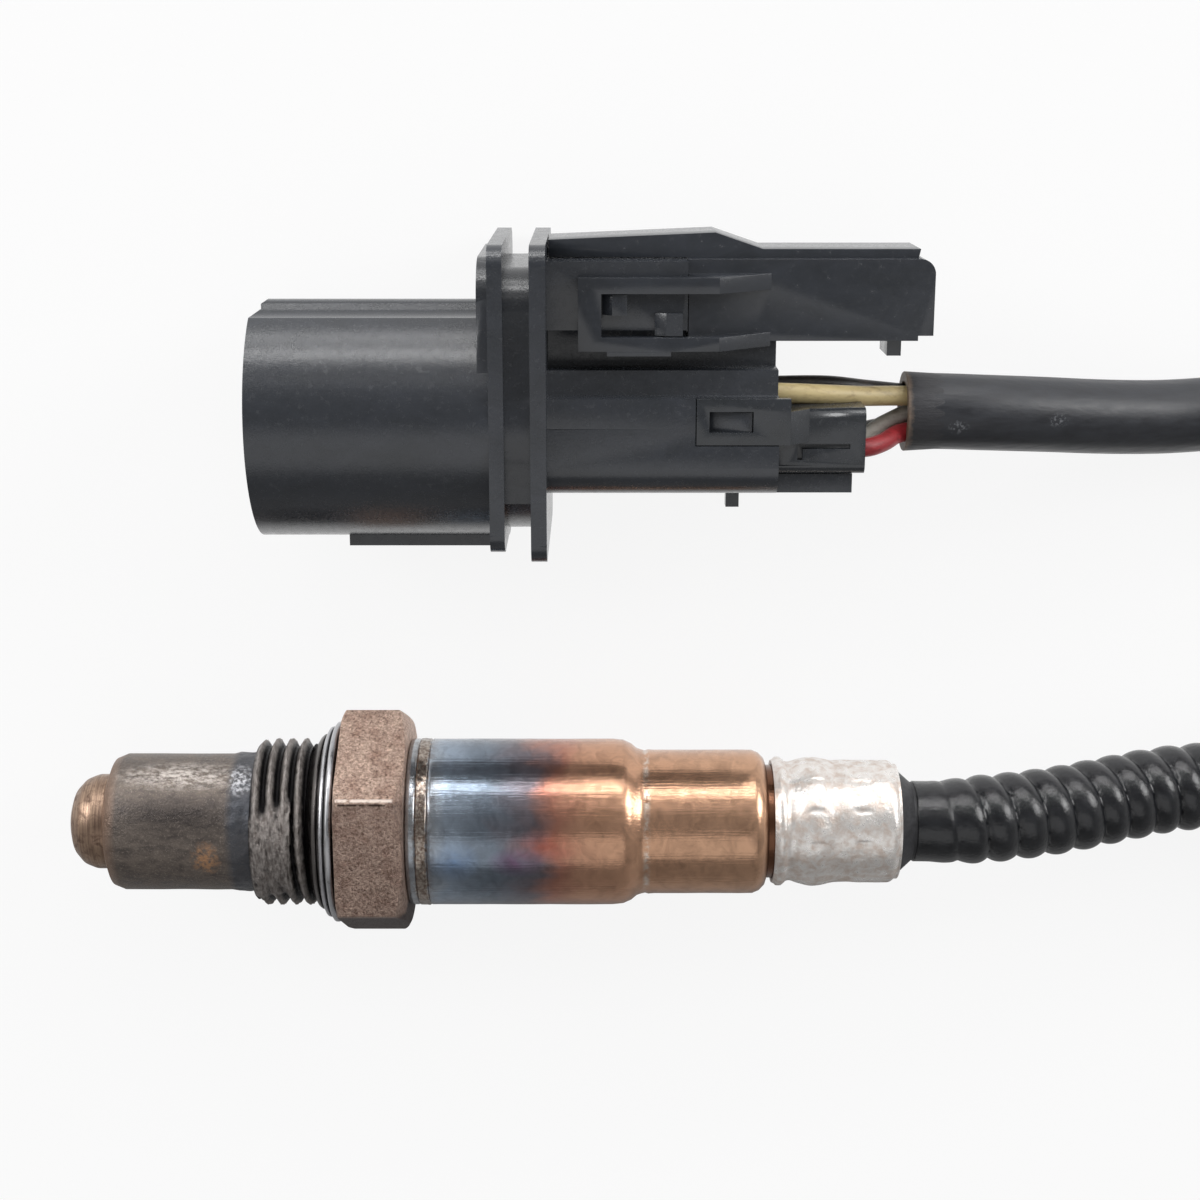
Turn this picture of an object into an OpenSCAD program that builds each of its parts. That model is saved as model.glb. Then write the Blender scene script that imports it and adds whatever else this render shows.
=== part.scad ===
// Wideband oxygen sensor with an M18 thread, a coiled lead and a six-way plug.
// Millimetres. The origin is on the sensor's axis at the front of its sealing ring,
// +X runs from the tip to the lead, and the hexagon lies on the plane below it.

/* [Tip] */
// Diameter of the inner protection tube
inner_tube_d = 10.2; // [9:0.1:11]
// How far the inner tube stands out of the outer one
inner_tube_out = 4.4; // [3:0.1:6]
// Corner radius of the inner tube's closed end
tip_round = 2.4; // [1.5:0.1:3]
// Height of the dome on the inner tube's end
tip_dome = 0.35; // [0.1:0.05:0.8]
// Gas hole in the middle of the tip
tip_hole_d = 2; // [1:0.1:3]
// Diameter of the outer protection tube
outer_tube_d = 14.7; // [13.8:0.1:15.2]
// Length of the outer tube in front of the thread
outer_tube_len = 15.9; // [12:0.1:20]
// Corner radius at the front of the outer tube
outer_tube_round = 1.5; // [0.8:0.1:1.8]
// Sheet thickness of both protection tubes
tube_wall = 0.5; // [0.3:0.05:0.6]
// Length of the thicker weld band at the back of the outer tube
weld_band_len = 2.4; // [1:0.1:4]
// Height of the weld band
weld_band_h = 0.15; // [0.05:0.05:0.3]
// Diameter of the gas holes in the shoulder of the outer tube
inlet_hole_d = 0.9; // [0.6:0.1:1.2]
// Number of gas holes in the shoulder
inlet_holes = 8; // [4:1:10]

/* [Housing] */
// Width of the hexagon across its flats
hex_af = 22; // [21:0.5:25]
// Length of the hexagon
hex_len = 7.1; // [6:0.1:11]
// Length of the chamfer at the corners of the hexagon
hex_chamfer = 1; // [0.3:0.1:1.5]
// Major diameter of the thread
thread_d = 18; // [17:0.1:19]
// Length of the thread
thread_len = 5.8; // [4:0.1:9]
// Lead-in chamfer of the thread
thread_chamfer = 0.6; // [0.2:0.1:1]
// Diameter of the relief behind the thread
relief_d = 15.8; // [15.2:0.1:16.5]
// Length of the relief in front of the sealing ring
relief_len = 1.2; // [0.8:0.1:2.5]
// Length of the nose that carries the protection tubes
nose_len = 3; // [2:0.1:4]
// Length of the collar that carries the sleeve
collar_len = 5; // [3:0.1:7]
// Diameter of the stack bore
stack_bore_d = 9.2; // [8.4:0.1:9.8]
// Diameter of the hole at the end of the nose
nose_bore_d = 5.4; // [5:0.1:6.4]
// Depth of the seat behind the nose's end
seat_depth = 1.5; // [1:0.1:2]
// Outer diameter of the folded sealing ring
ring_d = 21.6; // [20.5:0.1:21.8]
// Thickness of the folded sealing ring
ring_t = 2.2; // [1.2:0.1:2.4]

/* [Sleeve] */
// Diameter of the wide part of the sleeve
sleeve_d = 17.9; // [17:0.1:19]
// Length of the wide part of the sleeve
sleeve_len = 23.4; // [18:0.1:30]
// Diameter of the narrow part of the sleeve
sleeve_top_d = 15.5; // [15:0.1:16.5]
// Length of the narrow part of the sleeve
sleeve_top_len = 12.8; // [9:0.1:18]
// Length of the step between the two parts
sleeve_step = 1.5; // [1:0.1:3]
// Sheet thickness of the sleeve
sleeve_wall = 0.6; // [0.4:0.05:0.8]
// Bend radius of the sleeve's shoulders
sleeve_round = 1; // [0.7:0.1:1.1]
// Length of the neck inside the crimp
neck_len = 6; // [4:0.1:8]
// Height of the weld band on the sleeve
sleeve_weld_h = 0.12; // [0.05:0.01:0.3]
// Length of the weld band on the sleeve
sleeve_weld_len = 2; // [1:0.1:3]

/* [Crimp and boot] */
// Diameter of the crimp sleeve
crimp_d = 13.4; // [12.8:0.1:14]
// Length of the crimp sleeve
crimp_len = 13.5; // [11:0.1:18]
// Gap between the sleeve's end and the crimp
crimp_gap = 1.2; // [0.6:0.1:2]
// Height of the lip at the front of the crimp
crimp_lip_h = 0.3; // [0.1:0.05:0.5]
// Length of that lip
crimp_lip_len = 1.5; // [0.8:0.1:2.5]
// Height of the waves pressed into the crimp
crimp_wave_h = 0.3; // [0.1:0.05:0.4]
// Number of waves
crimp_waves = 2; // [1:1:3]
// Sheet thickness of the crimp
crimp_wall = 0.5; // [0.4:0.05:0.8]
// Inward bend at the crimp's end
crimp_end = 0.6; // [0.3:0.1:0.9]
// Length of the boot's bare tail
boot_tail = 1.9; // [1:0.1:4]
// Diameter at the end of the boot's tail
boot_end_d = 8.5; // [8:0.1:9.2]

/* [Inner pieces] */
// Width of the sensing strip
strip_w = 4.2; // [3.6:0.1:4.6]
// Thickness of the sensing strip
strip_t = 1.3; // [1:0.05:1.6]
// Length of the lower ceramic bush
lower_bush_len = 6; // [4:0.1:7]
// Length of the powder packing
packing_len = 7; // [4:0.1:8]
// Length of the upper ceramic bush
upper_bush_len = 8; // [5:0.1:9]
// Length of the contact carrier
carrier_len = 12.7; // [11:0.1:14]
// Width of the carrier's inner cavity
carrier_slot_w = 6.2; // [6:0.1:7]
// Height of the carrier's inner cavity
carrier_slot_h = 6; // [5.6:0.1:6.6]
// Thickness of a contact spring
spring_t = 0.3; // [0.2:0.05:0.4]
// Width of a contact spring
spring_w = 0.9; // [0.6:0.1:1.2]
// Diameter of an insulated lead
lead_d = 1.5; // [1.2:0.1:1.6]
// Diameter of a bare conductor
conductor_d = 0.8; // [0.6:0.05:1]
// Spacing of the leads side by side
lead_pitch = 1.9; // [1.8:0.05:2.1]
// Height of a row of leads above the axis
lead_row = 2.2; // [2:0.05:2.4]
// Distance from the grommet that the leads pass through to the sleeve's end
grommet_gap = 1.3; // [1.2:0.1:3]

/* [Hose and cable] */
// Outer diameter of the corrugated hose
hose_d = 9.6; // [9:0.1:10]
// Diameter of the sheathed cable
cable_d = 7.8; // [7.2:0.1:8]
// Outer diameter of the join sleeve between them
join_d = 10.6; // [10.2:0.1:10.6]
// Length of the join sleeve
join_len = 12; // [10:0.5:12]
// Diameter of one insulated wire
wire_d = 1.9; // [1.6:0.1:2]
// Radius of the coil's outer lap where the cable comes in
coil_r = 45; // [45:0.5:50]
// Radius that the coil's laps lose in one turn
coil_pitch = 8.2; // [8:0.1:9]

/* [Plug shroud] */
// Height of the plug's axis above the sensor's axis, seen from above
plug_y = 45; // [42:0.5:60]
// Outer radius of the shroud
shroud_r = 12.4; // [12:0.1:14]
// Wall of the shroud
shroud_wall = 1.5; // [1.2:0.1:2]
// Distance from the axis to the flat side of the shroud
shroud_flat = 10.5; // [9:0.1:11]
// Extra height of the raised half of the flat
flat_step = 0.5; // [0.2:0.1:0.8]
// Length of the shroud in front of the flange
shroud_len = 23.6; // [20:0.1:26]
// Depth of the socket
socket_depth = 20.5; // [16:0.1:21]
// Height of the key rib under the shroud
rib_h = 1.1; // [0.6:0.1:1.4]
// Width of the key rib
rib_w = 4; // [2:0.1:6]
// Length of the key rib
rib_len = 15; // [8:0.1:18]

/* [Plug flange] */
// Where the flange's front plate starts along X
flange_x = 19.05; // [19:0.05:22]
// Thickness of the front plate
front_plate_t = 1.45; // [1:0.05:1.6]
// Thickness of the rear plate
rear_plate_t = 1.55; // [1:0.05:2]
// Width of the channel between the plates
channel_w = 2.55; // [2:0.05:4]
// Reach of the plates above the plug's axis
plate_top = 17.9; // [17:0.1:20]
// Reach of the plates below the plug's axis
plate_bottom = 13; // [12.6:0.1:14]
// Corner radius of the plates
plate_round = 2; // [1:0.1:3]
// Half width of the web between the plates
web_half = 11; // [9:0.1:11.4]
// Reach of the web above the plug's axis
web_top = 15.5; // [14:0.1:16.5]
// Reach of the web below the plug's axis
web_bottom = 7.1; // [6:0.1:9]
// Corner radius of the web
web_round = 4; // [2:0.1:5]
// Thickness of the stop pad in front of the flange
pad_t = 1.1; // [0.6:0.1:2]

/* [Plug rear body] */
// Length of the rear body behind the flange
rear_len = 22.7; // [22:0.1:26]
// Half width of the rear body
rear_half = 9.4; // [9:0.1:10]
// Reach of the wide part of the rear body above the axis
rear_top = 2.95; // [2.9:0.05:4]
// Reach of the rear body below the axis
rear_bottom = 6.9; // [6.8:0.1:9]
// Corner radius under the rear body
rear_round = 3; // [2:0.1:4]
// Half width of the narrow part on top of the rear body
spine_half = 6.9; // [6.7:0.1:7.2]
// Reach of the narrow part above the axis
spine_top = 5.4; // [5.2:0.1:6.8]
// Half width of the web that joins the side block to the rear body
bridge_half = 3.5; // [2.5:0.1:4.5]
// Length of the shelf under the rear lock
shelf_len = 7.6; // [5:0.1:9]
// Half width of that shelf
shelf_half = 6.5; // [5:0.1:7.5]
// Length of the small foot under the body
foot_len = 1.35; // [0.8:0.05:2]
// Height of the small foot
foot_h = 2.7; // [0.8:0.1:3]
// Length of the side block that the mounting slide clips on
block_len = 13.7; // [12:0.1:15]
// Half width of the side block
block_half = 7.5; // [6.5:0.1:8]
// Lower face of the side block
block_bottom = 9.4; // [9.2:0.1:10.5]
// Upper face of the side block
block_top = 16; // [15:0.1:16.2]
// How far the catches stand out of the block
catch_h = 1; // [0.5:0.1:1.2]

/* [Mounting slide] */
// Length of the slide behind the flange
slide_len = 38.1; // [32:0.1:42]
// Half width of the slide's rail
rail_half = 4.7; // [4:0.1:5.2]
// Lower face of the rail
rail_bottom = 8; // [7.8:0.1:9]
// Half width of the ridge on the rail
ridge_half = 3.75; // [3:0.05:4]
// Top of the ridge at the rail's end
ridge_low = 16.9; // [16.6:0.1:17.2]
// Top of the ridge over the block
ridge_high = 18.5; // [18:0.1:20]
// Length of the high part of the ridge
ridge_len = 16.4; // [12:0.1:20]
// Length of the slope behind the high part
ridge_slope = 4.7; // [3:0.1:8]
// Where the fork arms start behind the flange
arm_start = 3.05; // [2:0.05:4]
// Length of the straight fork arms
arm_len = 13.65; // [13:0.05:15]
// Length over which the arms run into the rail
arm_taper = 5.3; // [3:0.1:7]
// Thickness of a fork arm
arm_t = 1.3; // [1:0.05:1.5]
// Lower edge of the fork arms
arm_bottom = 7.5; // [7.2:0.1:7.6]
// Upper edge of the fork arms
arm_top = 14.6; // [14:0.1:15]
// Lower edge of the window in a fork arm
window_bottom = 8.85; // [8.5:0.05:9.2]
// Upper edge of the window
window_top = 13.05; // [12.6:0.05:13.5]
// Length of the post in front of the window
post_len = 2.25; // [1.5:0.05:3]
// Height of the stop peg under the rail
peg_h = 1.6; // [0.8:0.1:2]

/* [Rear lock] */
// Length of the box behind the rear body
lock_len = 8.6; // [7:0.1:10]
// Half width of the box
lock_half = 7.5; // [6.5:0.1:8]
// Upper face of the box
lock_top = 1.7; // [1.4:0.1:1.7]
// Lower face of the box
lock_bottom = 4.9; // [4.4:0.1:5.6]
// Length of a latch arm
latch_len = 8.2; // [7:0.1:9]
// Lower edge of a latch arm
latch_bottom = 1.6; // [1.2:0.1:2]
// Thickness of a latch arm
latch_t = 1; // [0.7:0.05:1.2]
// Border round the window in a latch arm
latch_border = 1.25; // [1:0.05:1.4]

/* [Terminals] */
// Width of a contact blade
blade_w = 2.8; // [2.2:0.1:3]
// Thickness of a contact blade
blade_t = 0.8; // [0.6:0.05:1]
// Free length of a blade in the socket
blade_len = 11; // [8:0.1:13]
// Spacing of the terminals across the plug
pin_pitch = 4.4; // [4.2:0.1:4.5]
// Height of each terminal row from the axis
pin_row = 2.85; // [2.75:0.05:3]
// Diameter of a terminal chamber
chamber_d = 3.8; // [3.4:0.1:4]
// Length of a wire seal
seal_len = 4; // [3:0.1:5]

/* [Hidden] */

fine = 72;
fit = 0.1;

// Stations of the sensor along X, from the sealing ring's front face
hex_x0 = ring_t;
hex_x1 = hex_x0 + hex_len;
thread_x1 = -relief_len;
thread_x0 = thread_x1 - thread_len;
nose_x0 = thread_x0 - nose_len;
seat_x = nose_x0 + seat_depth;
outer_front = thread_x0 - outer_tube_len;
tip_x = outer_front - inner_tube_out;
collar_x1 = hex_x1 + collar_len;
sleeve_x0 = hex_x1 + fit;
sleeve_x1 = sleeve_x0 + sleeve_len;
sleeve_x2 = sleeve_x1 + sleeve_step;
sleeve_x3 = sleeve_x2 + sleeve_top_len;
crimp_x0 = sleeve_x3 + crimp_gap;
crimp_x1 = crimp_x0 + crimp_len;
neck_x1 = crimp_x0 + neck_len;
boot_x1 = crimp_x1 + boot_tail;

// Radii of the sensor, each one seated in the next
hex_corner_r = hex_af / sqrt(3);
outer_r = outer_tube_d / 2;
nose_r = outer_r - tube_wall - fit / 2;
inner_r = inner_tube_d / 2;
thread_r = thread_d / 2;
relief_r = relief_d / 2;
bush_r = stack_bore_d / 2 - fit;
sleeve_r = sleeve_d / 2;
top_r = sleeve_top_d / 2;
collar_r = sleeve_r - sleeve_wall - fit / 2;
crimp_r = crimp_d / 2;
neck_r = crimp_r - crimp_wall - fit;
boot_r = neck_r;
boot_bore_r = norm([lead_pitch, lead_row]) + lead_d / 2 + fit;

// The stack in the housing, one piece behind the other
lower_bush_x1 = seat_x + lower_bush_len;
packing_x1 = lower_bush_x1 + packing_len;
upper_bush_x1 = packing_x1 + upper_bush_len;
strip_x0 = tip_x + 3;
carrier_x1 = sleeve_x1 - 0.5;
carrier_x0 = carrier_x1 - carrier_len;
spring_x1 = carrier_x1 - 1;
spring_x0 = carrier_x0 + 1;
strip_x1 = spring_x1 - 3;
grommet_x0 = sleeve_x2 + 1;
grommet_x1 = sleeve_x3 - grommet_gap;
lead_x1 = crimp_x1 - 1;
lead_places = [[-lead_pitch, lead_row], [0, lead_row], [lead_pitch, lead_row],
    [-lead_pitch / 2, -lead_row], [lead_pitch / 2, -lead_row]];

// The floor that the hexagon and the plug's flange lie on
floor_z = -hex_af / 2;
plug_z = floor_z + shroud_r;
hose_r = hose_d / 2;
cable_r = cable_d / 2;
join_r = join_d / 2;
lying_z = floor_z + cable_r;

// Route of the hose: round points, ending straight along the join sleeve
join_z = floor_z + join_r;
join_turn = -25;
join_from = [113.5, -1.6, join_z];
join_to = join_from + join_len * [cos(join_turn), sin(join_turn), 0];
hose_route = [[boot_x1, 0, 0], [boot_x1 + 4, 0, 0], [74, 0.2, -0.8], [80.5, 0.5, -2.3], [87, 1.1, -4.1],
    [93, 1.7, -5.4], [99, 1.9, -5.9], [106, 1, -5.8],
    join_from - 2 * [cos(join_turn), sin(join_turn), 0], join_from];

// The coil lies beside the view: the cable comes in on its outer lap and leaves from its inner one
coil_x = 165;
coil_y = 19;
coil_turn_in = -45;
coil_mid_r = coil_r - coil_pitch / 8;
coil_in = [coil_x + coil_r * sin(coil_turn_in), coil_y - coil_r * cos(coil_turn_in), lying_z];
coil_inner = coil_mid_r - 1.5 * coil_pitch;
lead_in_route = [join_to, join_to + [cos(join_turn), sin(join_turn), 0], [128.9, -9.4, -6.4],
    coil_in - [1.5, -1.5, 0], coil_in];

// Route of the cable from the coil to the plug: it passes over the outer lap in one low hump
sheath_x = 60.9;
sheath_z = 0.1;
lead_out_route = [[coil_x, coil_y + coil_inner, -4.2], [158, coil_y + coil_inner, -2],
    [150, 50.6, 0.1], [142, 50.1, 0.9], [134, 49.4, 0.1], [126, 48.6, -2.1], [118, 47.7, -4.8],
    [111, 46.4, -6.4], [104, 45, lying_z], [97, 43.8, -7], [90, 43.4, -6], [83, 43.7, -4.1], [76, 44.3, -2],
    [69, 44.8, -0.3], [sheath_x + 4, plug_y, sheath_z], [sheath_x, plug_y, sheath_z]];

// Stations of the plug along X
shroud_x0 = flange_x - shroud_len;
socket_x1 = shroud_x0 + socket_depth;
channel_x0 = flange_x + front_plate_t;
channel_x1 = channel_x0 + channel_w;
body_x0 = channel_x1 + rear_plate_t;
body_x1 = body_x0 + rear_len;
lock_x0 = body_x1 + fit;
lock_x1 = lock_x0 + lock_len;
latch_x0 = lock_x0 - latch_len;
block_x1 = body_x0 + block_len;
slide_x1 = body_x0 + slide_len;
pocket_x0 = latch_x0 - fit;

// The terminals: blade, crimp barrel, then the wire
blade_x0 = socket_x1 - blade_len;
barrel_x0 = body_x0 + 0.5;
barrel_x1 = barrel_x0 + 5;
barrel_r = chamber_d / 2 - 0.4;
wire_r = wire_d / 2;
seal_x1 = body_x1 - 3;
seal_x0 = seal_x1 - seal_len;
seal_r = chamber_d / 2 - fit / 2;
pin_places = [for (y = [pin_row, -pin_row], z = [pin_pitch, 0, -pin_pitch]) [y, z]];
spare_place = pin_places[2];
wire_places = [pin_places[0], pin_places[1], pin_places[3], pin_places[4], pin_places[5]];

// Where each wire enters the cable's end, from the cable's axis
bundle_r = 2.35;
yellow_end = bundle_r * [cos(35), sin(35)];
black_end = bundle_r * [cos(-45), sin(-45)];
red_end = bundle_r * [cos(140), sin(140)];
grey_end = bundle_r * [cos(225), sin(225)];
white_end = [0, 0];

// A profile of [radius, station] points turned about the sensor's axis
module turned(profile) {
    rotate([0, 90, 0]) rotate_extrude($fn = fine) polygon(profile);
}

// A rod along X
module rod_x(x0, x1, r, y = 0, z = 0) {
    translate([x0, y, z]) rotate([0, 90, 0]) cylinder(h = x1 - x0, r = r, $fn = fine);
}

// A section in Y and Z, drawn out along X
module along_x(x0, x1) {
    translate([x0, 0, 0]) rotate([90, 0, 90]) linear_extrude(x1 - x0) children();
}

// A section in X and Z, drawn out along Y
module along_y(y0, y1) {
    translate([0, y1, 0]) rotate([90, 0, 0]) linear_extrude(y1 - y0) children();
}

// A section in X and Y, drawn out along Z
module along_z(z0, z1) {
    translate([0, 0, z0]) linear_extrude(z1 - z0) children();
}

module block(x0, x1, y0, y1, z0, z1) {
    translate([x0, y0, z0]) cube([x1 - x0, y1 - y0, z1 - z0]);
}

// A rectangle with true round corners
module round_rect(x0, x1, y0, y1, r) {
    translate([x0 + r, y0]) square([x1 - x0 - 2 * r, y1 - y0]);
    translate([x0, y0 + r]) square([x1 - x0, y1 - y0 - 2 * r]);
    for (x = [x0 + r, x1 - r], y = [y0 + r, y1 - r]) translate([x, y]) circle(r, $fn = fine);
}

// Points on an arc of a profile
function arc(c, r, from, to, steps = 6) =
    [for (i = [0:steps]) let (a = from + (to - from) * i / steps) c + r * [cos(a), sin(a)]];

function unit(v) = v / norm(v);

// A round tube swept along a route, level across its width
module swept(route, r, sides = 12) {
    last = len(route) - 1;
    rings = [for (i = [0:last]) let (
        along = unit(route[min(i + 1, last)] - route[max(i - 1, 0)]),
        side = unit(cross([0, 0, 1], along)),
        up = cross(along, side))
        for (k = [0:sides - 1])
            route[i] + r * (cos(360 * k / sides) * side + sin(360 * k / sides) * up)];
    walls = [for (i = [0:last - 1], k = [0:sides - 1]) let (
        a = i * sides + k,
        b = i * sides + (k + 1) % sides,
        c = b + sides,
        d = a + sides)
        for (t = [[a, d, c], [a, c, b]]) t];
    front = [for (k = [0:sides - 1]) k];
    back = [for (k = [sides - 1:-1:0]) last * sides + k];
    polyhedron(rings, concat(walls, [front], [back]));
}

module plug_frame() {
    translate([0, plug_y, plug_z]) children();
}

// Deep-drawn tube with a domed end: the gas leaves through the hole in its middle
module inner_protection_tube() {
    flange_r = outer_r - tube_wall - fit;
    flange_x1 = nose_x0 - fit;
    corner = arc([inner_r - tip_round, tip_x + tip_dome + tip_round], tip_round, -90, 0);
    inside = arc([inner_r - tip_round, tip_x + tip_dome + tip_round], tip_round - tube_wall, 0, -90);
    color([0.42, 0.33, 0.27]) difference() {
        turned(concat([[tip_hole_d / 2, tip_x + tube_wall], [tip_hole_d / 2, tip_x]], corner,
            [[inner_r, flange_x1 - tube_wall], [flange_r, flange_x1 - tube_wall], [flange_r, flange_x1],
            [inner_r - tube_wall, flange_x1]], inside));
        for (i = [0:7]) rotate([45 * i, 0, 0]) translate([outer_front + 3, 0, inner_r - 2])
            cylinder(h = 4, d = inlet_hole_d, $fn = 24);
    }
}

// Outer tube, pushed over the housing's nose and welded all round
module outer_protection_tube() {
    mouth_r = inner_r + fit;
    weld_x0 = thread_x0 - weld_band_len;
    end_x = thread_x0 - fit / 2;
    corner_c = [outer_r - outer_tube_round, outer_front + outer_tube_round];
    color([0.3, 0.27, 0.25]) difference() {
        turned(concat([[mouth_r, outer_front + tube_wall], [mouth_r, outer_front]],
            arc(corner_c, outer_tube_round, -90, 0),
            [[outer_r, weld_x0], [outer_r + weld_band_h, weld_x0 + weld_band_h],
            [outer_r + weld_band_h, end_x], [outer_r - tube_wall, end_x]],
            arc(corner_c, outer_tube_round - tube_wall, 0, -90)));
        for (i = [0:inlet_holes - 1]) rotate([360 * (i + 0.5) / inlet_holes, 0, 0])
            rod_x(outer_front - 1, outer_front + outer_tube_round + 1, inlet_hole_d / 2,
                (mouth_r + outer_r) / 2);
    }
}

// Steel body: nose, M18 thread, relief, hexagon and the collar under the sleeve
module housing() {
    bore_r = stack_bore_d / 2;
    root_r = hex_af / 2 - 1;
    color([0.45, 0.36, 0.3]) difference() {
        union() {
            turned([[0, nose_x0], [nose_r, nose_x0], [nose_r, thread_x0],
                [thread_r - thread_chamfer, thread_x0], [thread_r, thread_x0 + thread_chamfer],
                [thread_r, thread_x1], [relief_r, thread_x1], [relief_r, hex_x0], [root_r, hex_x0],
                [root_r, hex_x1], [collar_r, hex_x1], [collar_r, collar_x1], [0, collar_x1]]);
            intersection() {
                translate([hex_x0, 0, 0]) rotate([0, 90, 0]) rotate([0, 0, 30])
                    cylinder(h = hex_len, r = hex_corner_r, $fn = 6);
                turned([[0, hex_x0], [hex_af / 2 + 0.9, hex_x0], [hex_corner_r + 0.1, hex_x0 + hex_chamfer / 2],
                    [hex_corner_r + 0.1, hex_x1 - hex_chamfer], [hex_af / 2 - 0.1, hex_x1], [0, hex_x1]]);
            }
        }
        rod_x(nose_x0 - 1, seat_x + 1, nose_bore_d / 2);
        rod_x(seat_x, collar_x1 + 1, bore_r);
    }
}

// Folded sheet ring, held captive by the thread: three folds that grow to the back
module sealing_ring() {
    fold = ring_t / 3;
    out_r = ring_d / 2;
    color([0.62, 0.62, 0.62]) turned(concat([[relief_r + fit, 0]],
        [for (i = [0:2], p = arc([out_r - fold / 2 - 0.35 * (2 - i), fold * (i + 0.5)], fold / 2, -80, 80, 4)) p],
        [[relief_r + fit, ring_t - fit / 2]]));
}

// Layered ceramic strip with the sensing cell at its front end
module sensing_strip() {
    color([0.9, 0.9, 0.88]) block(strip_x0, strip_x1, -strip_w / 2, strip_w / 2, -strip_t / 2, strip_t / 2);
}

// One ring of the stack: a turned bush with a slot for the strip
module stack_bush(x0, x1) {
    slot_w = strip_w + 2 * fit;
    slot_t = strip_t + 2 * fit;
    difference() {
        rod_x(x0, x1, bush_r);
        block(x0 - 1, x1 + 1, -slot_w / 2, slot_w / 2, -slot_t / 2, slot_t / 2);
    }
}

module lower_ceramic_bush() {
    color([0.93, 0.92, 0.88]) stack_bush(seat_x + fit / 2, lower_bush_x1);
}

module powder_packing() {
    color([0.8, 0.8, 0.76]) stack_bush(lower_bush_x1 + fit / 2, packing_x1);
}

module upper_ceramic_bush() {
    color([0.93, 0.92, 0.88]) stack_bush(packing_x1 + fit / 2, upper_bush_x1);
}

// Ceramic holder behind the housing, with a cavity round the strip and the springs
module contact_carrier() {
    color([0.9, 0.88, 0.83]) difference() {
        rod_x(carrier_x0, carrier_x1, collar_r - fit);
        block(carrier_x0 - 1, carrier_x1 + 1, -carrier_slot_w / 2, carrier_slot_w / 2,
            -carrier_slot_h / 2, carrier_slot_h / 2);
    }
}

// One bowed spring: it presses on the strip and carries a crimp barrel round its conductor
module contact_spring() {
    face = strip_t / 2 + fit / 2;
    mid = (spring_x0 + strip_x1) / 2;
    rear = spring_x1 - 2;
    roof = lead_row - 0.3;
    along_y(-spring_w / 2, spring_w / 2) polygon([[spring_x0, roof], [mid - 0.6, face], [mid + 0.6, face],
        [rear - 1, roof], [rear + 0.3, roof], [rear + 0.3, roof + spring_t], [rear - 1.2, roof + spring_t],
        [mid + 0.4, face + spring_t], [mid - 0.4, face + spring_t], [spring_x0, roof + spring_t + 0.1]]);
    difference() {
        rod_x(rear, spring_x1, conductor_d / 2 + 0.35, 0, lead_row);
        rod_x(rear - 1, spring_x1 + 1, conductor_d / 2 + fit / 2, 0, lead_row);
    }
}

module contact_springs() {
    color([0.8, 0.65, 0.35]) for (p = lead_places)
        translate([0, p[0], 0]) mirror([0, 0, p[1] < 0 ? 1 : 0]) contact_spring();
}

// Drawn steel sleeve, welded round the collar, stepped down and necked for the crimp
module protective_sleeve() {
    weld_x = hex_x1 + 0.4;
    w = sleeve_wall;
    color([0.72, 0.47, 0.3]) turned(concat([[sleeve_r - w, sleeve_x0], [sleeve_r, sleeve_x0],
        [sleeve_r, weld_x], [sleeve_r + sleeve_weld_h, weld_x + 0.1],
        [sleeve_r + sleeve_weld_h, weld_x + sleeve_weld_len - 0.1], [sleeve_r, weld_x + sleeve_weld_len]],
        arc([sleeve_r - sleeve_round, sleeve_x2 - sleeve_round], sleeve_round, 0, 90),
        [[top_r, sleeve_x2]],
        arc([top_r - sleeve_round, sleeve_x3 - sleeve_round + 0.5], sleeve_round, 0, 90),
        [[neck_r, sleeve_x3 + 0.5], [neck_r, neck_x1], [neck_r - w, neck_x1], [neck_r - w, sleeve_x3 + 0.5 - w],
        [top_r - w, sleeve_x3 - sleeve_round], [top_r - w, sleeve_x2 - w], [sleeve_r - w, sleeve_x1 - 0.4]]));
}

// Sealing plug with one hole for each lead
module lead_grommet() {
    color([0.85, 0.85, 0.82]) difference() {
        rod_x(grommet_x0, grommet_x1, top_r - sleeve_wall - fit);
        for (p = lead_places) rod_x(grommet_x0 - 1, grommet_x1 + 1, lead_d / 2 + fit / 2, p[0], p[1]);
    }
}

// Five leads, bare inside their springs' barrels
module sensor_leads() {
    color([0.8, 0.78, 0.7]) for (p = lead_places) {
        rod_x(spring_x1 - 1.6, spring_x1 + 0.5, conductor_d / 2, p[0], p[1]);
        rod_x(spring_x1 + 0.5, lead_x1, lead_d / 2, p[0], p[1]);
    }
}

// Bright pressed sleeve with a lip, two pressed waves and an end bent inwards
module crimp_sleeve() {
    wave_x0 = crimp_x0 + crimp_lip_len + 0.6;
    wave_x1 = crimp_x1 - 1.4;
    steps = 10 * crimp_waves;
    inside = crimp_r - crimp_wall;
    color([0.8, 0.79, 0.77]) turned(concat([[inside, crimp_x0], [crimp_r, crimp_x0],
        [crimp_r + crimp_lip_h, crimp_x0 + 0.3], [crimp_r + crimp_lip_h, crimp_x0 + crimp_lip_len - 0.4],
        [crimp_r, crimp_x0 + crimp_lip_len]],
        [for (i = [0:steps]) [crimp_r + crimp_wave_h * (1 - cos(360 * crimp_waves * i / steps)) / 2 - 0.05,
            wave_x0 + (wave_x1 - wave_x0) * i / steps]],
        [[crimp_r - 0.05, crimp_x1 - 0.9], [crimp_r - crimp_end, crimp_x1], [crimp_r - crimp_end - 0.3, crimp_x1],
        [inside, crimp_x1 - 0.9]]));
}

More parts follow.
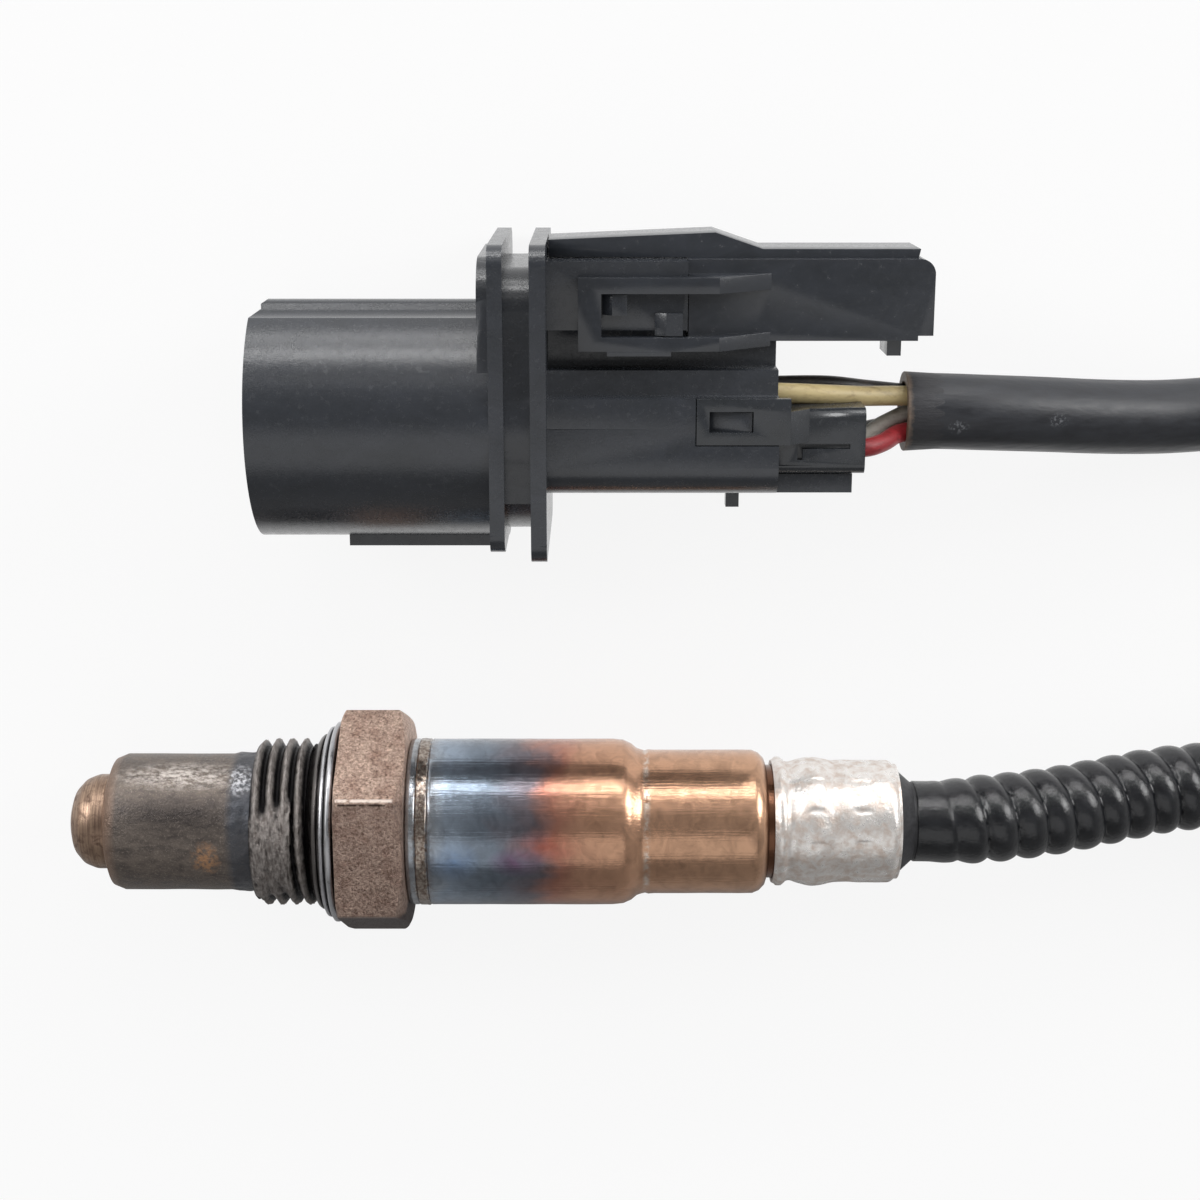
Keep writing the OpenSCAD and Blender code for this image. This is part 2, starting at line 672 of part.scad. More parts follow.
// Rubber boot clamped in the crimp, its tail tapering to the hose
module hose_boot() {
    mouth_r = crimp_r - crimp_end - 0.3 - fit;
    color([0.08, 0.08, 0.09]) difference() {
        turned([[0, neck_x1 + fit], [boot_r, neck_x1 + fit], [boot_r, crimp_x1 - 1.2], [mouth_r, crimp_x1 - 0.2],
            [mouth_r, crimp_x1], [boot_end_d / 2, boot_x1 - 0.3], [boot_end_d / 2, boot_x1], [0, boot_x1]]);
        rod_x(neck_x1 - 1, lead_x1 + fit, boot_bore_r);
    }
}

module protective_hose() {
    color([0.06, 0.06, 0.07]) swept(hose_route, hose_r);
}

// Shrunk join sleeve between the hose and the cable, with rounded ends
module hose_join_sleeve() {
    e = 0.8;
    color([0.09, 0.09, 0.1]) translate(join_from) rotate([0, 0, join_turn])
        turned([[0, 0], [join_r - e, 0], [join_r, e], [join_r, join_len * 0.55],
            [cable_r + e, join_len - e], [cable_r + e / 2, join_len], [0, join_len]]);
}

module cable_lead_in() {
    color([0.07, 0.07, 0.08]) swept(lead_in_route, cable_r);
}

// Outer shape of the coil: one full ring, and the outer lap from where the cable comes in
module cable_coil() {
    outer_lap = coil_mid_r - coil_pitch / 2 + cable_r + 0.4;
    ring_in = coil_inner - cable_r;
    turn = 180 - coil_turn_in;
    color([0.07, 0.07, 0.08]) translate([coil_x, coil_y, floor_z]) union() {
        rotate_extrude($fn = fine) translate([ring_in, 0]) square([outer_lap - ring_in, cable_d]);
        rotate([0, 0, coil_turn_in - 90]) rotate_extrude(angle = turn, $fn = fine)
            translate([outer_lap - 1, 0]) square([coil_r + cable_r - outer_lap + 1, cable_d]);
    }
}

module cable_lead_out() {
    color([0.07, 0.07, 0.08]) swept(lead_out_route, cable_r);
}

// One wire: straight in its chamber, then over to its place in the cable's end.
// The upper row lies above the rear lock and the lower row comes out of it.
module wire(place, end) {
    start = [barrel_x1, plug_y + place[0], plug_z + place[1]];
    goal = [sheath_x, plug_y + end[0], sheath_z + end[1]];
    over = place[0] > 0
        ? [[body_x1 + 0.5, start[1], start[2]], [lock_x1 - 1, start[1], (start[2] + goal[2]) / 2]]
        : [[lock_x1 + 0.3, start[1], start[2]]];
    last = over[len(over) - 1];
    swept(concat([start, start + [2, 0, 0]], over,
        [last * 0.6 + goal * 0.4, last * 0.2 + goal * 0.8, goal - [0.5, 0, 0], goal]), wire_r, 8);
}

module wire_yellow() {
    color([0.72, 0.66, 0.4]) wire(wire_places[0], yellow_end);
}

module wire_black() {
    color([0.1, 0.1, 0.1]) wire(wire_places[1], black_end);
}

module wire_red() {
    color([0.72, 0.1, 0.12]) wire(wire_places[2], red_end);
}

module wire_white() {
    color([0.85, 0.84, 0.8]) wire(wire_places[3], white_end);
}

module wire_grey() {
    color([0.5, 0.48, 0.46]) wire(wire_places[4], grey_end);
}

// D-shaped section of the shroud, its far half raised by a step
module shroud_section(r, flat, step) {
    intersection() {
        circle(r, $fn = 2 * fine);
        union() {
            translate([-2 * r, -2 * r]) square([2 * r + flat, 4 * r]);
            translate([-2 * r, -2 * r]) square([2 * r + flat + step, 2 * r - 1]);
        }
    }
}

module flange_plate(x0, x1, bottom) {
    along_x(x0, x1) round_rect(-bottom, plate_top, -shroud_r, shroud_r, plate_round);
}

// One catch on the side block, sloped so that the slide's arm can ride over it
module catch(x0, x1, y0, y1) {
    along_y(y0, y1) polygon([[x0, block_half - 0.1], [x1, block_half - 0.1], [x1, block_half + catch_h],
        [x0 + (x1 - x0) * 0.4, block_half + catch_h], [x0, block_half + 0.3]]);
}

// The moulded body, in one piece: shroud, double flange, side block, chambers and shelf
module plug_housing() {
    socket_r = shroud_r - shroud_wall;
    floor_half = rear_half - latch_t - fit;
    latch_y0 = -latch_bottom - fit;
    window_x0 = latch_x0 + latch_border + fit;
    window_x1 = lock_x0 - latch_border - 1.5;
    catch_x0 = body_x0 + arm_start + post_len + fit;
    foot_x0 = body_x1 - 4.6;
    foot_half = 0.8;
    color([0.1, 0.1, 0.11]) plug_frame() difference() {
        union() {
            along_x(shroud_x0, channel_x0) shroud_section(shroud_r, shroud_flat, flat_step);
            block(flange_x - rib_len, flange_x, -shroud_r - rib_h + 0.1, -shroud_r + 1, -rib_w / 2, rib_w / 2);
            flange_plate(flange_x, channel_x0, plate_bottom - 1);
            flange_plate(channel_x1, body_x0, plate_bottom);
            along_x(flange_x - pad_t, flange_x)
                round_rect(0, plate_top - 1.4, -web_half, web_half, web_round);
            along_x(channel_x0, channel_x1) {
                round_rect(-web_bottom, web_top, -web_half, web_half, web_round);
                translate([-web_bottom, -web_half]) square([web_round + 1, 2 * web_half]);
                circle(shroud_r - 0.8, $fn = fine);
            }
            along_x(body_x0, body_x1) {
                round_rect(-rear_bottom, rear_top, -rear_half, rear_half, rear_round);
                translate([0, -rear_half]) square([rear_top, 2 * rear_half]);
                translate([0, -spine_half]) square([spine_top, 2 * spine_half]);
                translate([0, -bridge_half]) square([rail_bottom - fit, 2 * bridge_half]);
            }
            block(body_x0, block_x1, 0, block_bottom + 1, -bridge_half, bridge_half);
            along_x(body_x1, body_x1 + shelf_len)
                translate([-rear_bottom, -shelf_half]) square([rear_bottom - lock_bottom - fit, 2 * shelf_half]);
            block(foot_x0, foot_x0 + foot_len, -rear_bottom - foot_h, -rear_bottom + 1, -foot_half, foot_half);
            block(body_x0, block_x1, block_bottom, block_top, -block_half, block_half);
            for (side = [0, 1]) mirror([0, 0, side]) {
                catch(catch_x0, catch_x0 + 2.4, window_top - 2.1, window_top - fit);
                catch(catch_x0 + 5.1, catch_x0 + 7.8, window_bottom + fit, window_bottom + 2.3);
            }
        }
        along_x(shroud_x0 - 1, socket_x1) shroud_section(socket_r, shroud_flat - shroud_wall, 0);
        for (p = pin_places) {
            block(socket_x1 - 1, barrel_x0, p[0] - blade_t / 2 - fit, p[0] + blade_t / 2 + fit,
                p[1] - blade_w / 2 - fit, p[1] + blade_w / 2 + fit);
            rod_x(barrel_x0 - fit, body_x1 + 1, chamber_d / 2, p[0], p[1]);
        }
        for (side = [0, 1]) mirror([0, 0, side]) difference() {
            block(pocket_x0, body_x1 + 1, latch_y0, rear_top + 1, floor_half, rear_half + 1);
            along_y(latch_y0 - 1 + latch_border + 1.1, rear_top - latch_border - 0.1) polygon([
                [window_x0, floor_half - 1], [window_x1, floor_half - 1], [window_x1, rear_half - 0.3],
                [window_x1 - 1.2, rear_half - 0.3], [window_x0, floor_half + 0.2]]);
        }
    }
}

// Mounting slide: a ridged rail whose fork arms clip over the catches of the side block
module mounting_slide() {
    start = body_x0 + arm_start;
    arm_in = block_half + fit;
    arm_out = arm_in + arm_t;
    arm_x1 = start + arm_len;
    joint_x = block_x1 + fit;
    end_round = 1.5;
    ridge_x0 = body_x0 + fit;
    lip_x0 = start + 2.8;
    lip_len = 6.2;
    lip_h = 0.45;
    color([0.12, 0.12, 0.13]) plug_frame() {
        along_z(-rail_half, rail_half) {
            translate([joint_x, rail_bottom]) square([slide_len - block_len - fit - end_round,
                block_top - rail_bottom]);
            translate([joint_x, rail_bottom + 0.5]) square([slide_len - block_len - fit,
                block_top - rail_bottom - 0.5 - end_round]);
            translate([slide_x1 - end_round, block_top - end_round]) circle(end_round, $fn = fine);
        }
        along_z(-ridge_half, ridge_half) polygon([[joint_x, block_top - 2], [slide_x1 - 2, block_top - 2],
            [slide_x1 - 1.4, ridge_low], [ridge_x0 + ridge_len + ridge_slope, ridge_low],
            [ridge_x0 + ridge_len, ridge_high], [ridge_x0, ridge_high - 0.7], [ridge_x0, block_top + fit],
            [joint_x, block_top + fit]]);
        for (side = [0, 1]) mirror([0, 0, side]) {
            difference() {
                along_y(arm_bottom, arm_top) polygon([[start, arm_in], [start, arm_out], [arm_x1, arm_out],
                    [arm_x1 + arm_taper, rail_half], [arm_x1 + arm_taper, rail_half - 1],
                    [joint_x, rail_half - 1], [joint_x, arm_in]]);
                block(start + post_len, joint_x, window_bottom, window_top, arm_in - 1, arm_out + 1);
                along_y(window_bottom, window_top) polygon([[joint_x - 1, arm_in - 0.4],
                    [joint_x, arm_in - 0.4], [arm_x1 + arm_taper - 1.2, rail_half],
                    [arm_x1 + arm_taper + 1, rail_half], [arm_x1 + arm_taper + 1, arm_out + 1],
                    [joint_x - 1, arm_out + 1]]);
            }
            block(lip_x0, lip_x0 + lip_len, arm_bottom - lip_h, arm_bottom + 0.2, arm_out - 0.6, arm_out);
        }
        block(slide_x1 - 4.4, slide_x1 - 3, rail_bottom - peg_h, rail_bottom + 0.5, -1.5, rail_half - 1);
    }
}

// Rear lock: a box round the lower row of wires, held by two framed latch arms
module rear_lock() {
    arm_in = rear_half - latch_t;
    arm_y0 = -latch_bottom;
    color([0.13, 0.13, 0.14]) plug_frame() difference() {
        union() {
            along_x(lock_x0, lock_x1) round_rect(-lock_bottom, lock_top, -lock_half, lock_half, 1);
            block(lock_x0, lock_x0 + 1, -latch_bottom, lock_top, -rear_half, rear_half);
            for (side = [0, 1]) mirror([0, 0, side]) {
                block(latch_x0, lock_x0 + 1, arm_y0, rear_top, arm_in, rear_half);
                along_y(-latch_bottom, lock_top) polygon([[lock_x0 + 0.5, lock_half - 1],
                    [lock_x0 + 0.5, rear_half], [lock_x0 + 1, rear_half], [lock_x0 + 3, lock_half],
                    [lock_x0 + 3, lock_half - 1]]);
            }
        }
        for (side = [0, 1]) mirror([0, 0, side]) {
            block(latch_x0 + latch_border, lock_x0 - latch_border - 1.4, arm_y0 + latch_border,
                rear_top - latch_border, arm_in - 1, rear_half + 1);
            block(lock_x0 + 1.9, lock_x1 - 1.5, -2.3, -1.8, lock_half - 0.5, lock_half + 1);
            block(lock_x0 + 1.9, lock_x0 + 2.4, -3.4, -1.8, lock_half - 0.5, lock_half + 1);
        }
        for (p = pin_places) if (p[0] < 0)
            rod_x(lock_x0 - 1, lock_x1 + 1, wire_r + fit, p[0], p[1]);
    }
}

// Six blades, each with its crimp barrel
module contact_blades() {
    tip = blade_t;
    color([0.75, 0.74, 0.7]) plug_frame() for (p = pin_places) translate([0, p[0], p[1]]) {
        along_y(-blade_t / 2, blade_t / 2) polygon([[blade_x0, -blade_w / 2 + tip],
            [blade_x0 + tip, -blade_w / 2], [barrel_x0 + 1, -blade_w / 2], [barrel_x0 + 1, blade_w / 2],
            [blade_x0 + tip, blade_w / 2], [blade_x0, blade_w / 2 - tip]]);
        rod_x(barrel_x0, barrel_x1, barrel_r);
    }
}

// Five ring seals, and a blind plug in the chamber without a wire
module wire_seals() {
    color([0.35, 0.3, 0.55]) plug_frame() {
        for (p = wire_places) difference() {
            rod_x(seal_x0, seal_x1, seal_r, p[0], p[1]);
            rod_x(seal_x0 - 1, seal_x1 + 1, wire_r + fit / 2, p[0], p[1]);
        }
        rod_x(seal_x0, body_x1, seal_r, spare_place[0], spare_place[1]);
    }
}

// Trimming resistor in the sixth chamber, between its barrel and the blind plug
module trim_resistor() {
    len_x = seal_x0 - barrel_x1 - 2 * fit;
    color([0.2, 0.35, 0.3]) plug_frame() translate([0, spare_place[0], spare_place[1]]) {
        rod_x(barrel_x1 + fit, barrel_x1 + fit + len_x, 0.3);
        rod_x(barrel_x1 + len_x * 0.25, barrel_x1 + len_x * 0.75, barrel_r);
    }
}

inner_protection_tube();
outer_protection_tube();
housing();
sealing_ring();
sensing_strip();
lower_ceramic_bush();
powder_packing();
upper_ceramic_bush();
contact_carrier();
contact_springs();
protective_sleeve();
lead_grommet();
sensor_leads();
crimp_sleeve();
hose_boot();
protective_hose();
hose_join_sleeve();
cable_lead_in();
cable_coil();
cable_lead_out();
wire_yellow();
wire_black();
wire_white();
wire_grey();
wire_red();
plug_housing();
mounting_slide();
rear_lock();
contact_blades();
wire_seals();
trim_resistor();
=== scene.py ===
import math

import bmesh
import bpy
from mathutils import Matrix, Vector, noise


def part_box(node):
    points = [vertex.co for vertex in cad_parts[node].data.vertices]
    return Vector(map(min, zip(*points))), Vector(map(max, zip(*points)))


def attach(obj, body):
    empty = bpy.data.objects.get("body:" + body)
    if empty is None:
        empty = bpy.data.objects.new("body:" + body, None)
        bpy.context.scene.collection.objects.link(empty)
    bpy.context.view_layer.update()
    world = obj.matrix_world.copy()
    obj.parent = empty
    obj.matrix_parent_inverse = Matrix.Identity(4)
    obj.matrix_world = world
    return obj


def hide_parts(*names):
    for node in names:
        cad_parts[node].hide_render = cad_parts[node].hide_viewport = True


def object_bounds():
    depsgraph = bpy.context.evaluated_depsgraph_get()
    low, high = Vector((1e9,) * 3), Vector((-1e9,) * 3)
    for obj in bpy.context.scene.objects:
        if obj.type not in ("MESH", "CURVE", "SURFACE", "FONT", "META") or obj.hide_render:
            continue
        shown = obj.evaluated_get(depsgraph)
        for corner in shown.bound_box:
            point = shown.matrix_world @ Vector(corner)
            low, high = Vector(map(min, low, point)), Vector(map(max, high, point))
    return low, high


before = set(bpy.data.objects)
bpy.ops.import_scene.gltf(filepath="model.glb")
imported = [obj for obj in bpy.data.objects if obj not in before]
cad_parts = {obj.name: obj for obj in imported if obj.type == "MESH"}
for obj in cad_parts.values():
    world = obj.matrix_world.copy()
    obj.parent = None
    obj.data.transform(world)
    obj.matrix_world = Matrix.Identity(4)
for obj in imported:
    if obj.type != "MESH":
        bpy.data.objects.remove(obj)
cad_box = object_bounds()

# Camera. It looks down on the sensor from the side of the plug, level with the probe's axis,
# as the photograph was taken.
MM = 0.001
photo_px = 1200
focal_px = 1980
looked_at = Vector((29.78, 24.87, 0)) * MM
camera_distance = 208.8 * MM
camera_height = math.radians(75)
towards_camera = Vector((0, math.cos(camera_height), math.sin(camera_height)))
picture_right = Vector((1, 0, 0))
picture_up = towards_camera.cross(picture_right)

lens = bpy.data.cameras.new("camera")
lens.angle = 2 * math.atan(photo_px / 2 / focal_px)
lens.clip_start = 10 * MM
camera = bpy.data.objects.new("camera", lens)
turned_camera = Matrix((picture_right, picture_up, towards_camera)).transposed().to_4x4()
camera.matrix_world = Matrix.Translation(looked_at + camera_distance * towards_camera) @ turned_camera
bpy.context.scene.collection.objects.link(camera)
bpy.context.scene.camera = camera
bpy.context.scene.view_settings.view_transform = "Standard"


# Studio. A pale floor that the sensor lies on. Behind it stand three long lamps, which draw the
# bright lines along the metal and the plastic. A soft one hangs overhead and one stands on either side.
class Finish:
    """A finish: one material, with its patterns laid out in millimetres on the piece itself."""

    def __init__(self, name, colour, roughness, metal=0.0, shine=0.5):
        self.material = bpy.data.materials.new(name)
        self.material.use_nodes = True
        self.nodes = self.material.node_tree.nodes
        self.links = self.material.node_tree.links
        self.shader = self.nodes["Principled BSDF"]
        self.set("Base Color", (*colour, 1))
        self.set("Roughness", roughness)
        self.set("Metallic", metal)
        self.set("Specular IOR Level", shine)
        self.place = self.nodes.new("ShaderNodeTexCoord").outputs["Object"]

    def set(self, socket, value):
        """Gives a socket of the shader a value or a pattern."""
        if isinstance(value, bpy.types.NodeSocket):
            self.links.new(value, self.shader.inputs[socket])
        else:
            self.shader.inputs[socket].default_value = value

    def node(self, kind, settings=(), **inputs):
        """Adds a node; an input is given by its name, or as _ and its number."""
        added = self.nodes.new("ShaderNode" + kind)
        for name, value in dict(settings).items():
            setattr(added, name, value)
        for name, value in inputs.items():
            socket = added.inputs[int(name[1:])] if name[1:].isdigit() else added.inputs[name]
            if isinstance(value, bpy.types.NodeSocket):
                self.links.new(value, socket)
            else:
                socket.default_value = value
        return added

    def laid(self, stretch=(1, 1, 1)):
        """The place on the piece in millimetres, stretched along an axis where its number is small."""
        scale = [s / MM for s in stretch]
        return self.node("Mapping", Vector=self.place, Scale=scale).outputs[0]

    def cloud(self, scale, detail=4, stretch=(1, 1, 1), rough=0.6, twist=0.0):
        """A cloudy pattern from 0 to 1, with so many features in a millimetre."""
        found = self.node("TexNoise", Vector=self.laid(stretch), Scale=scale, Detail=detail,
                          Roughness=rough, Distortion=twist)
        return found.outputs["Fac"]

    def along(self, axis):
        """The distance along one axis, in millimetres."""
        return self.node("SeparateXYZ", Vector=self.laid()).outputs[axis]

    def radius(self):
        """The distance from the probe's axis, in millimetres."""
        across = self.laid((0, 1, 1))
        return self.node("VectorMath", {"operation": "LENGTH"}, Vector=across).outputs["Value"]

    def near(self, centre, reach):
        """1 at a place, given in millimetres, and 0 beyond its reach along each axis."""
        scale = [1 / (MM * r) for r in reach]
        shift = [-c / r for c, r in zip(centre, reach)]
        away = self.node("Mapping", Vector=self.place, Scale=scale, Location=shift).outputs[0]
        away = self.node("VectorMath", {"operation": "LENGTH"}, Vector=away).outputs["Value"]
        return self.ranged(away, 1, 0)

    def ranged(self, value, low, high, to_low=0.0, to_high=1.0):
        """A value carried from one range to another and held at its ends; low may be the larger."""
        if low > high:
            low, high, to_low, to_high = high, low, to_high, to_low
        return self.node("MapRange", {"clamp": True}, Value=value, _1=low, _2=high,
                         _3=to_low, _4=to_high).outputs[0]

    def worked_out(self, what, a, b=0.0):
        """Arithmetic on values and patterns."""
        return self.node("Math", {"operation": what}, _0=a, _1=b).outputs[0]

    def times(self, a, b):
        return self.worked_out("MULTIPLY", a, b)

    def shades(self, value, *stops):
        """A colour for a value: each stop is its position and its colour."""
        ramp = self.node("ValToRGB", Fac=value)
        marks = ramp.color_ramp.elements
        marks.remove(marks[1])
        marks[0].position = stops[0][0]
        marks[0].color = (*stops[0][1], 1)
        for position, colour in stops[1:]:
            marks.new(position).color = (*colour, 1)
        return ramp.outputs["Color"]

    def over(self, share, under, upper, way="MIX"):
        """The upper colour laid over the other one, as strongly as its share says."""
        mixed = self.node("Mix", {"data_type": "RGBA", "blend_type": way}, _0=share)
        for socket, value in ((mixed.inputs[6], under), (mixed.inputs[7], upper)):
            if isinstance(value, bpy.types.NodeSocket):
                self.links.new(value, socket)
            else:
                socket.default_value = (*value, 1)
        return mixed.outputs[2]

    def relief(self, height, depth, strength=1.0):
        """Roughens the surface by a height pattern, its depth in millimetres."""
        bump = self.node("Bump", Height=height, Distance=depth * MM, Strength=strength)
        self.set("Normal", bump.outputs[0])


def show(mesh_or_curve, name, finish, slot=None, stands_for=()):
    """Puts a finished piece in the scene, at the origin, and hides the solids it stands for; with a slot,
    it hangs the piece on the root body.
    """
    thing = bpy.data.objects.new(name, mesh_or_curve)
    bpy.context.scene.collection.objects.link(thing)
    mesh_or_curve.materials.append(finish.material)
    if slot:
        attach(thing, "root")
    if stands_for:
        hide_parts(*stands_for)
    return thing


floor_half = 1.6
floor_drop = 0.05 * MM
floor_grey, floor_shown_grey = (0.8, 0.8, 0.8), (0.42, 0.42, 0.42)
floor_glow = 0.88
mirrored_from, mirrored_to, mirrored_least = -15, 8, 0.05
floor_bm = bmesh.new()
bmesh.ops.create_grid(floor_bm, x_segments=1, y_segments=1, size=floor_half)
bmesh.ops.translate(floor_bm, verts=floor_bm.verts, vec=(0, 0, cad_box[0].z - floor_drop))
floor_mesh = bpy.data.meshes.new("floor")
floor_bm.to_mesh(floor_mesh)
floor_bm.free()

pale = Finish("pale_floor", floor_grey, 0.9)
rays = pale.node("LightPath").outputs
pale.set("Base Color", pale.over(rays["Is Camera Ray"], floor_shown_grey, floor_grey))
shown = pale.times(rays["Is Camera Ray"], floor_glow)
# Painted reflection: in reflections the floor glows fully on the +Y side and hardly at all towards -Y.
towards_plug = pale.ranged(pale.along("Y"), mirrored_from, mirrored_to, mirrored_least, 1.0)
mirrored = pale.times(rays["Is Glossy Ray"], towards_plug)
through = pale.times(rays["Is Transmission Ray"], floor_glow)
seen = pale.worked_out("MAXIMUM", shown, pale.worked_out("MAXIMUM", mirrored, through))
glow = pale.node("Emission", Color=(1, 1, 1, 1), Strength=1.0)
floor_mix = pale.node("MixShader", _0=seen, _1=pale.shader.outputs[0], _2=glow.outputs[0])
pale.links.new(floor_mix.outputs[0], pale.nodes["Material Output"].inputs["Surface"])
show(floor_mesh, "floor", pale)

sky_ramps = {"Z": (0.0, 0.9, 1.15, 0.3), "Y": (-0.9, 0.9, 0.25, 1.0)}
world = bpy.data.worlds.new("studio")
bpy.context.scene.world = world
world.use_nodes = True
sky = world.node_tree
sky_place = sky.nodes.new("ShaderNodeTexCoord")
sky_way = sky.nodes.new("ShaderNodeSeparateXYZ")
sky.links.new(sky_place.outputs["Generated"], sky_way.inputs[0])
sky_levels = {}
for axis, ramp in sky_ramps.items():
    level = sky.nodes.new("ShaderNodeMapRange")
    for socket, value in zip(level.inputs[1:5], ramp):
        socket.default_value = value
    sky.links.new(sky_way.outputs[axis], level.inputs[0])
    sky_levels[axis] = level.outputs[0]
sky_level = sky.nodes.new("ShaderNodeMath")
sky_level.operation = "MULTIPLY"
sky.links.new(sky_levels["Z"], sky_level.inputs[0])
sky.links.new(sky_levels["Y"], sky_level.inputs[1])
sky_rays = sky.nodes.new("ShaderNodeLightPath")
sky_mix = sky.nodes.new("ShaderNodeMix")
sky_mix.data_type = "RGBA"
sky_mix.inputs[7].default_value = (1, 1, 1, 1)
sky.links.new(sky_rays.outputs["Is Camera Ray"], sky_mix.inputs[0])
sky.links.new(sky_level.outputs[0], sky_mix.inputs[6])
sky.links.new(sky_mix.outputs[2], sky.nodes["Background"].inputs["Color"])


def lamp(name, place, aim, size, power):
    """A soft rectangular lamp, in millimetres and watts, turned towards the place it is aimed at."""
    light = bpy.data.lights.new(name, "AREA")
    light.shape = "RECTANGLE"
    light.size, light.size_y = (side * MM for side in size)
    light.energy = power
    thing = bpy.data.objects.new(name, light)
    at, to = Vector(place) * MM, Vector(aim) * MM
    thing.matrix_world = Matrix.Translation(at) @ (at - to).to_track_quat("Z", "Y").to_matrix().to_4x4()
    bpy.context.scene.collection.objects.link(thing)


lamp("strip_lamp", (30, 420, 180), (30, 0, 0), (460, 30), 0.55)
lamp("low_lamp", (30, 520, 62), (30, 0, 0), (560, 50), 0.45)
lamp("thin_lamp", (30, 290, 300), (30, 0, 0), (600, 8), 0.05)
lamp("over_lamp", (30, -150, 400), (30, 0, 0), (520, 300), 0.29)
lamp("left_lamp", (-430, 300, 240), (30, 20, 0), (260, 260), 1.4)
lamp("right_lamp", (490, 300, 240), (30, 20, 0), (260, 260), 1.4)


# Cable. One sheathed lead runs from the boot behind the probe, inside the corrugated hose, to the
# end of its sheath behind the plug, and its unseen length lies coiled beside the view.
def ends_of(node):
    """Where a CAD node begins and ends along X, in millimetres."""
    low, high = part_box(node)
    return round(low.x / MM, 3), round(high.x / MM, 3)


cable_d = 7.8
cable_spacing = 1.6
floor_z = round(cad_box[0].z / MM, 3)
lying_z = floor_z + cable_d / 2
boot_end = ends_of("hose_boot")[1]
sheath_end = ends_of("cable_lead_out")[0]
sheath_y, sheath_z = 45, 0.1
join_turn = math.radians(-25)
join_way = Vector((math.cos(join_turn), math.sin(join_turn), 0))
join_from = Vector((113.5, -1.6, -5.7))
join_long = 12
join_to = join_from + join_long * join_way
hose_route = [(boot_end, 0, 0), (67.7, 0, 0), (74, 0.2, -0.8), (80.5, 0.5, -2.3), (87, 1.1, -4.1),
              (93, 1.7, -5.4), (99, 1.9, -5.9), (106, 1, -5.8), join_from - 2 * join_way, join_from]
lead_in_route = [join_to, join_to + join_way, (128.9, -9.4, -6.4)]
coil_x, coil_y = 165, 19
coil_start, coil_stop, coil_step = -45, 540, 15
coil_rise_from, coil_rise = 430, 2.9
coil_outer_r, coil_pitch = 43.975, 8.2
lead_out_route = [(158, 50.675, -2), (150, 50.6, 0.1), (142, 50.1, 0.9), (134, 49.4, 0.1), (126, 48.6, -2.1),
                  (118, 47.7, -4.8), (111, 46.4, -6.4), (104, 45, lying_z), (97, 43.8, -7), (90, 43.4, -6),
                  (83, 43.7, -4.1), (76, 44.3, -2), (69, 44.8, -0.3),
                  (sheath_end + 4, sheath_y, sheath_z)]


def coil_turns():
    """Points along the coil, from its outer lap to its inner one, which rises over the last stretch."""
    for angle in range(coil_start, coil_stop + 1, coil_step):
        radius = coil_outer_r - coil_pitch * angle / 360
        turn = math.radians(angle)
        rise = max(0.0, (angle - coil_rise_from) / (coil_stop - coil_rise_from))
        yield (coil_x + radius * math.sin(turn), coil_y - radius * math.cos(turn),
               lying_z + coil_rise * rise * rise)


def laid_route(points, spacing):
    """A smooth line through the points, at an even spacing, all in millimetres."""
    points = [Vector(p) for p in points]
    line = []
    for before, a, b, after in zip(points[:1] + points, points, points[1:], points[2:] + points[-1:]):
        span = (b - a).length
        slope_a = (b - before).normalized() * span
        slope_b = (after - a).normalized() * span
        steps = max(2, round(span / spacing))
        for i in range(steps):
            t = i / steps
            line.append(a * (2 * t ** 3 - 3 * t ** 2 + 1) + slope_a * (t ** 3 - 2 * t ** 2 + t)
                        + b * (3 * t ** 2 - 2 * t ** 3) + slope_b * (t ** 3 - t ** 2))
    return line + [points[-1]]


def tube_along(name, line, diameter, finish, slot, *stands_for):
    """A round cord as a curve of one open spline."""
    curve = bpy.data.curves.new(name, "CURVE")
    curve.dimensions = "3D"
    curve.bevel_depth = diameter / 2 * MM
    curve.bevel_resolution = 8
    curve.use_fill_caps = True
    spline = curve.splines.new("POLY")
    spline.points.add(len(line) - 1)
    for point, at in zip(spline.points, line):
        point.co = (*(at * MM), 1)
    spline.use_smooth = True
    return show(curve, name, finish, slot, stands_for)


def tone(red, green, blue):
    """A colour read from 0 to 255, as the light that a shader needs."""
    return tuple(((c / 255 + 0.055) / 1.055) ** 2.4 if c > 10 else c / 3300 for c in (red, green, blue))


sheath_black = Finish("cable_sheath_black", tone(42, 42, 46), 0.4)
scuffs = sheath_black.cloud(1.3, 6, (0.25, 1, 1))
sheath_colour = sheath_black.shades(scuffs, (0.3, tone(35, 36, 40)), (0.7, tone(46, 48, 53)))
for mark in ((66, 44, 3.6), (76.5, 44.3, 1.6)):
    scratch = sheath_black.times(sheath_black.near(mark, (1.3, 0.9, 1.5)),
                                 sheath_black.ranged(sheath_black.cloud(3, 5), 0.5, 0.6))
    sheath_colour = sheath_black.over(scratch, sheath_colour, tone(120, 122, 126))
sheath_black.set("Base Color", sheath_colour)
sheath_black.set("Roughness", sheath_black.ranged(scuffs, 0.3, 0.7, 0.34, 0.5))
sheath_black.relief(sheath_black.cloud(1.5, 4, (0.3, 1, 1)), 0.04)

cable_line = laid_route([*hose_route, *lead_in_route, *coil_turns(), *lead_out_route,
                         (sheath_end + 1.6, sheath_y, sheath_z)], cable_spacing)
for point in cable_line:
    point.z = max(point.z, lying_z)
cable = tube_along("sheathed_cable", cable_line, cable_d, sheath_black, "cable_sheath",
                   "cable_lead_in", "cable_coil", "cable_lead_out")


